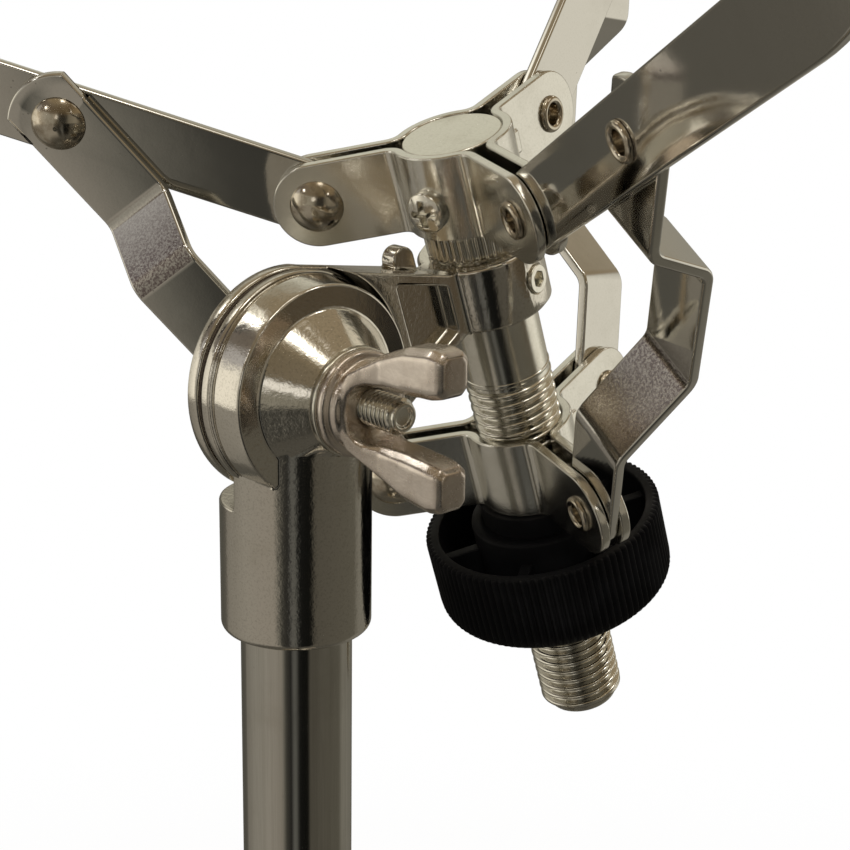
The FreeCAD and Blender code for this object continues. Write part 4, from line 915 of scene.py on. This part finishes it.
# Rounded copies, by the size of their edges: families of three, then single pieces
FAMILIES = {
    STRIP_EDGE: [*HUB_PLATES, "leg", "brace"],
    BAR_EDGE: ["arm", "strut"],
    RUBBER_EDGE: ["grip", "foot"],
    FINE_EDGE: ["arm_strut_rivet", "leg_brace_rivet", "brace_end_rivet"],
}
for edge, families in FAMILIES.items():
    for family in families:
        for number in THREE:
            rounded(f"{family}_{number}", edge)
SINGLES = {
    CASTING_EDGE: ["tilter_base", "tilter_arm", "height_collar", "tripod_collar", "tripod_hub"],
    TUBE_EDGE: ["upper_tube", "base_tube", "guide_bush", "tube_plug", "base_plug", "nut_washer"],
    FINE_EDGE: ["upper_hub_rivets", "lower_hub_rivets", "leg_pivot_rivets", "hub_screw", "collar_screw",
                "hub_pin", "friction_washer", "knob_insert"],
}
for edge, nodes in SINGLES.items():
    for node in nodes:
        rounded(node, edge)
for node in ("height_bolt", "tripod_bolt"):
    piece(node + "_rounded", softened(welded(node)), node)
# the cranks of two struts get scratches and painted shade
for node, (begin, full) in SCUFF_AND_SHADE_PLACES.items():
    scuff_crank(bpy.data.objects[node + "_rounded"].data, *strut_pivot(node), begin, full)


# Studio
def camera():
    data = bpy.data.cameras.new("camera")
    data.sensor_width = CAMERA_SENSOR
    data.lens = CAMERA_SENSOR * FOCAL_PIXELS / PICTURE_SIZE
    data.clip_start, data.clip_end = CAMERA_CLIP
    made = in_scene("camera", data)
    look = CAMERA_LOOK.normalized()
    right = look.cross(Vector((0, 0, 1))).normalized()
    down = look.cross(right)
    across = right * math.cos(CAMERA_ROLL) + down * math.sin(CAMERA_ROLL)
    up = right * math.sin(CAMERA_ROLL) - down * math.cos(CAMERA_ROLL)
    turn = Matrix((across, up, -look)).transposed().to_4x4()
    made.matrix_world = Matrix.Translation(CAMERA_PLACE) @ turn
    bpy.context.scene.camera = made


def seen_directly(graph):
    """1 for rays that show the background: from the camera, a mirror or glass."""
    path = graph.node("ShaderNodeLightPath")
    camera_ray = graph.level(path.outputs["Is Camera Ray"])
    return camera_ray.most(path.outputs["Is Glossy Ray"]).most(path.outputs["Is Transmission Ray"])


def world():
    made = bpy.data.worlds.new("studio")
    bpy.context.scene.world = made
    made.use_nodes = True
    graph = Graph(made.node_tree)
    strength = WORLD_LIGHT + seen_directly(graph) * (1 - WORLD_LIGHT)
    background = graph.node("ShaderNodeBackground", None, {"Color": WORLD_COLOUR, "Strength": strength})
    graph.node("ShaderNodeOutputWorld", None, {"Surface": background.outputs[0]})


def floor():
    """Pale floor that keeps a soft shadow near the stand and is white further out."""
    bpy.ops.mesh.primitive_plane_add(size=FLOOR_SIZE)
    made = bpy.context.object
    made.name = "floor"
    finish = Finish("pale_floor")
    paper = finish.node("ShaderNodeBsdfDiffuse", None, {"Color": FLOOR_COLOUR})
    glow = finish.node("ShaderNodeEmission", None, {"Color": (1, 1, 1), "Strength": 1.0})
    distance = finish.node("ShaderNodeVectorMath", {"operation": "LENGTH"}, {0: finish.place})
    far = finish.level(distance.outputs["Value"]).ramped(*FLOOR_GLOW_FADE)
    share = seen_directly(finish) * (FLOOR_GLOW + far * (1 - FLOOR_GLOW))
    mixed = finish.node("ShaderNodeMixShader", None, {0: share, 1: paper.outputs[0], 2: glow.outputs[0]})
    made.data.materials.append(finish.close(mixed))


# Tones of the tent by direction, from -180 degrees round to 180: foot of the walls and floor, walls, top
FOOT_TONES = (
    (-180, (0.32, 0.29, 0.245)), (-160, (0.31, 0.28, 0.235)), (-154.6, (0.16, 0.15, 0.125)),
    (-150.8, (0.06, 0.057, 0.048)), (-140, (0.02, 0.019, 0.017)), (-135, (0.12, 0.117, 0.105)),
    (-130, (0.13, 0.127, 0.112)), (-124, (0.010, 0.010, 0.009)), (-106, (0.006, 0.006, 0.005)),
    (-100, (0.095, 0.086, 0.068)), (-60, (0.112, 0.102, 0.08)), (-30, (0.125, 0.115, 0.09)),
    (-20, (0.22, 0.205, 0.17)), (8, (0.22, 0.205, 0.17)), (30, (0.14, 0.13, 0.105)),
    (84, (0.09, 0.085, 0.07)), (100, (0.12, 0.11, 0.09)), (106, (0.24, 0.22, 0.185)),
    (150, (0.32, 0.295, 0.25)), (180, (0.32, 0.29, 0.245)))
WALL_TONES = (
    (-180, (0.38, 0.355, 0.30)), (-158, (0.34, 0.315, 0.26)), (-148, (0.26, 0.24, 0.19)),
    (-138, (0.05, 0.047, 0.04)), (-118, (0.04, 0.038, 0.032)), (-106, (0.20, 0.18, 0.14)),
    (-80, (0.28, 0.25, 0.195)), (-64, (0.10, 0.078, 0.05)), (-44, (0.085, 0.066, 0.042)),
    (-36, (0.80, 0.76, 0.66)), (-14, (0.88, 0.84, 0.73)), (4, (0.40, 0.375, 0.31)),
    (40, (0.28, 0.26, 0.21)), (66, (0.14, 0.13, 0.105)), (98, (0.14, 0.13, 0.105)),
    (110, (0.70, 0.66, 0.56)), (146, (1.10, 1.03, 0.88)), (160, (0.55, 0.51, 0.43)),
    (180, (0.38, 0.355, 0.30)))
TOP_TONES = (
    (-180, (0.22, 0.18, 0.13)), (-120, (0.20, 0.16, 0.10)), (-60, (0.30, 0.23, 0.14)),
    (0, (0.33, 0.26, 0.17)), (34, (0.48, 0.45, 0.36)), (90, (0.46, 0.43, 0.35)),
    (130, (0.18, 0.155, 0.13)), (160, (0.19, 0.155, 0.12)), (180, (0.22, 0.18, 0.13)))
TENT_BANDS = ((0.26, WALL_TONES), (0.79, TOP_TONES))
CEILING_TONE = (0.32, 0.255, 0.165)
# Patches of the tent, as middle, reach and tone: shade under the stand, soft windows, small lamps, pale spots
TENT_PATCHES = (
    ((0, 0, 0), 0.50, (0.09, 0.083, 0.068)),
    ((-0.29, -0.50, 1.71), 0.26, (2.2, 2.1, 1.85)),
    ((-0.35, 0.75, 1.36), 0.24, (1.7, 1.64, 1.46)),
    ((0.60, -0.60, 1.45), 0.24, (1.9, 1.8, 1.6)),
    ((0.50, 0.75, 1.08), 0.24, (0.66, 0.64, 0.53)),
    ((0.05, -0.16, 1.74), 0.33, (1.9, 1.81, 1.6)),
    ((-0.29, -0.52, 1.71), 0.11, (11, 10.8, 10.2)),
    ((-0.40, 0.70, 1.40), 0.10, (10, 9.8, 9.3)),
    ((0.62, -0.55, 1.45), 0.10, (10, 9.8, 9.3)),
    ((-0.88, 0.16, 1.02), 0.08, (7, 6.9, 6.6)),
    ((0.86, 0.25, 1.10), 0.08, (7, 6.9, 6.6)),
    ((-0.10, -0.89, 0.92), 0.06, (5, 4.9, 4.7)),
    ((-0.735, 0.52, 0.88), 0.20, (0.50, 0.475, 0.45)),
    ((-0.77, -0.465, 0.64), 0.15, (1.1, 1.05, 0.96)),
)


def tent_band(finish, turn, tones):
    stops = [((angle + 180) / 360, tone) for angle, tone in tones]
    return finish.node("ShaderNodeValToRGB", {"stops": stops}, {"Fac": turn}).outputs[0]


def tent_finish():
    """Cloth that glows in its own tones, which vary by direction and height."""
    finish = Finish("tent_cloth")
    parts = finish.node("ShaderNodeSeparateXYZ", None, {"Vector": finish.place})
    across, along, height = (finish.level(parts.outputs[index]) for index in range(3))
    turn = along.angle_from(across) / (2 * math.pi) + 0.5
    colour = tent_band(finish, turn, FOOT_TONES)
    for foot, tones in TENT_BANDS:
        share = height.ramped(foot - TENT_BLUR, foot + TENT_BLUR)
        colour = finish.mix(share, colour, tent_band(finish, turn, tones))
    colour = finish.mix(height.ramped(*CEILING_BLEND), colour, CEILING_TONE)
    for middle, reach, tone in TENT_PATCHES:
        gap = finish.node("ShaderNodeVectorMath", {"operation": "DISTANCE"}, {0: finish.place, 1: middle})
        near = 1 - finish.level(gap.outputs["Value"]).ramped(PATCH_CORE * reach, reach)
        colour = finish.mix(near, colour, tone)
    finish.material.cycles.emission_sampling = "NONE"
    return finish.close(finish.node("ShaderNodeEmission", None, {"Color": colour, "Strength": 1.0}))


def tent():
    mesh = ring_loft([circle(radius, height, TENT_STEPS) for radius, height in TENT_PROFILE])
    mesh.materials.append(tent_finish())
    made = in_scene("tent", mesh)
    made.visible_camera = False
    made.visible_diffuse = False
    made.visible_shadow = False
    made.visible_transmission = False


def lamp(name, place, size, power, colour):
    """Round lamp that points at the tilter and isn't mirrored."""
    data = bpy.data.lights.new(name, "AREA")
    data.shape = "DISK"
    data.size = size
    data.energy = power
    data.color = colour
    made = in_scene(name, data)
    made.visible_glossy = False
    made.location = place
    made.rotation_mode = "QUATERNION"
    made.rotation_quaternion = (TILTER_MIDDLE - Vector(place)).to_track_quat("-Z", "Y")


camera()
world()
floor()
tent()
lamp("ceiling_lamp", place=(-0.5, -0.45, 1.55), size=0.5, power=9, colour=(1.0, 0.94, 0.84))
lamp("side_lamp", place=(0.55, -0.6, 1.4), size=0.35, power=5, colour=(1.0, 0.95, 0.88))
lamp("back_lamp", place=(-0.2, 0.8, 1.45), size=0.5, power=6, colour=(1.0, 0.96, 0.9))

bpy.context.scene.view_settings.view_transform = "Standard"
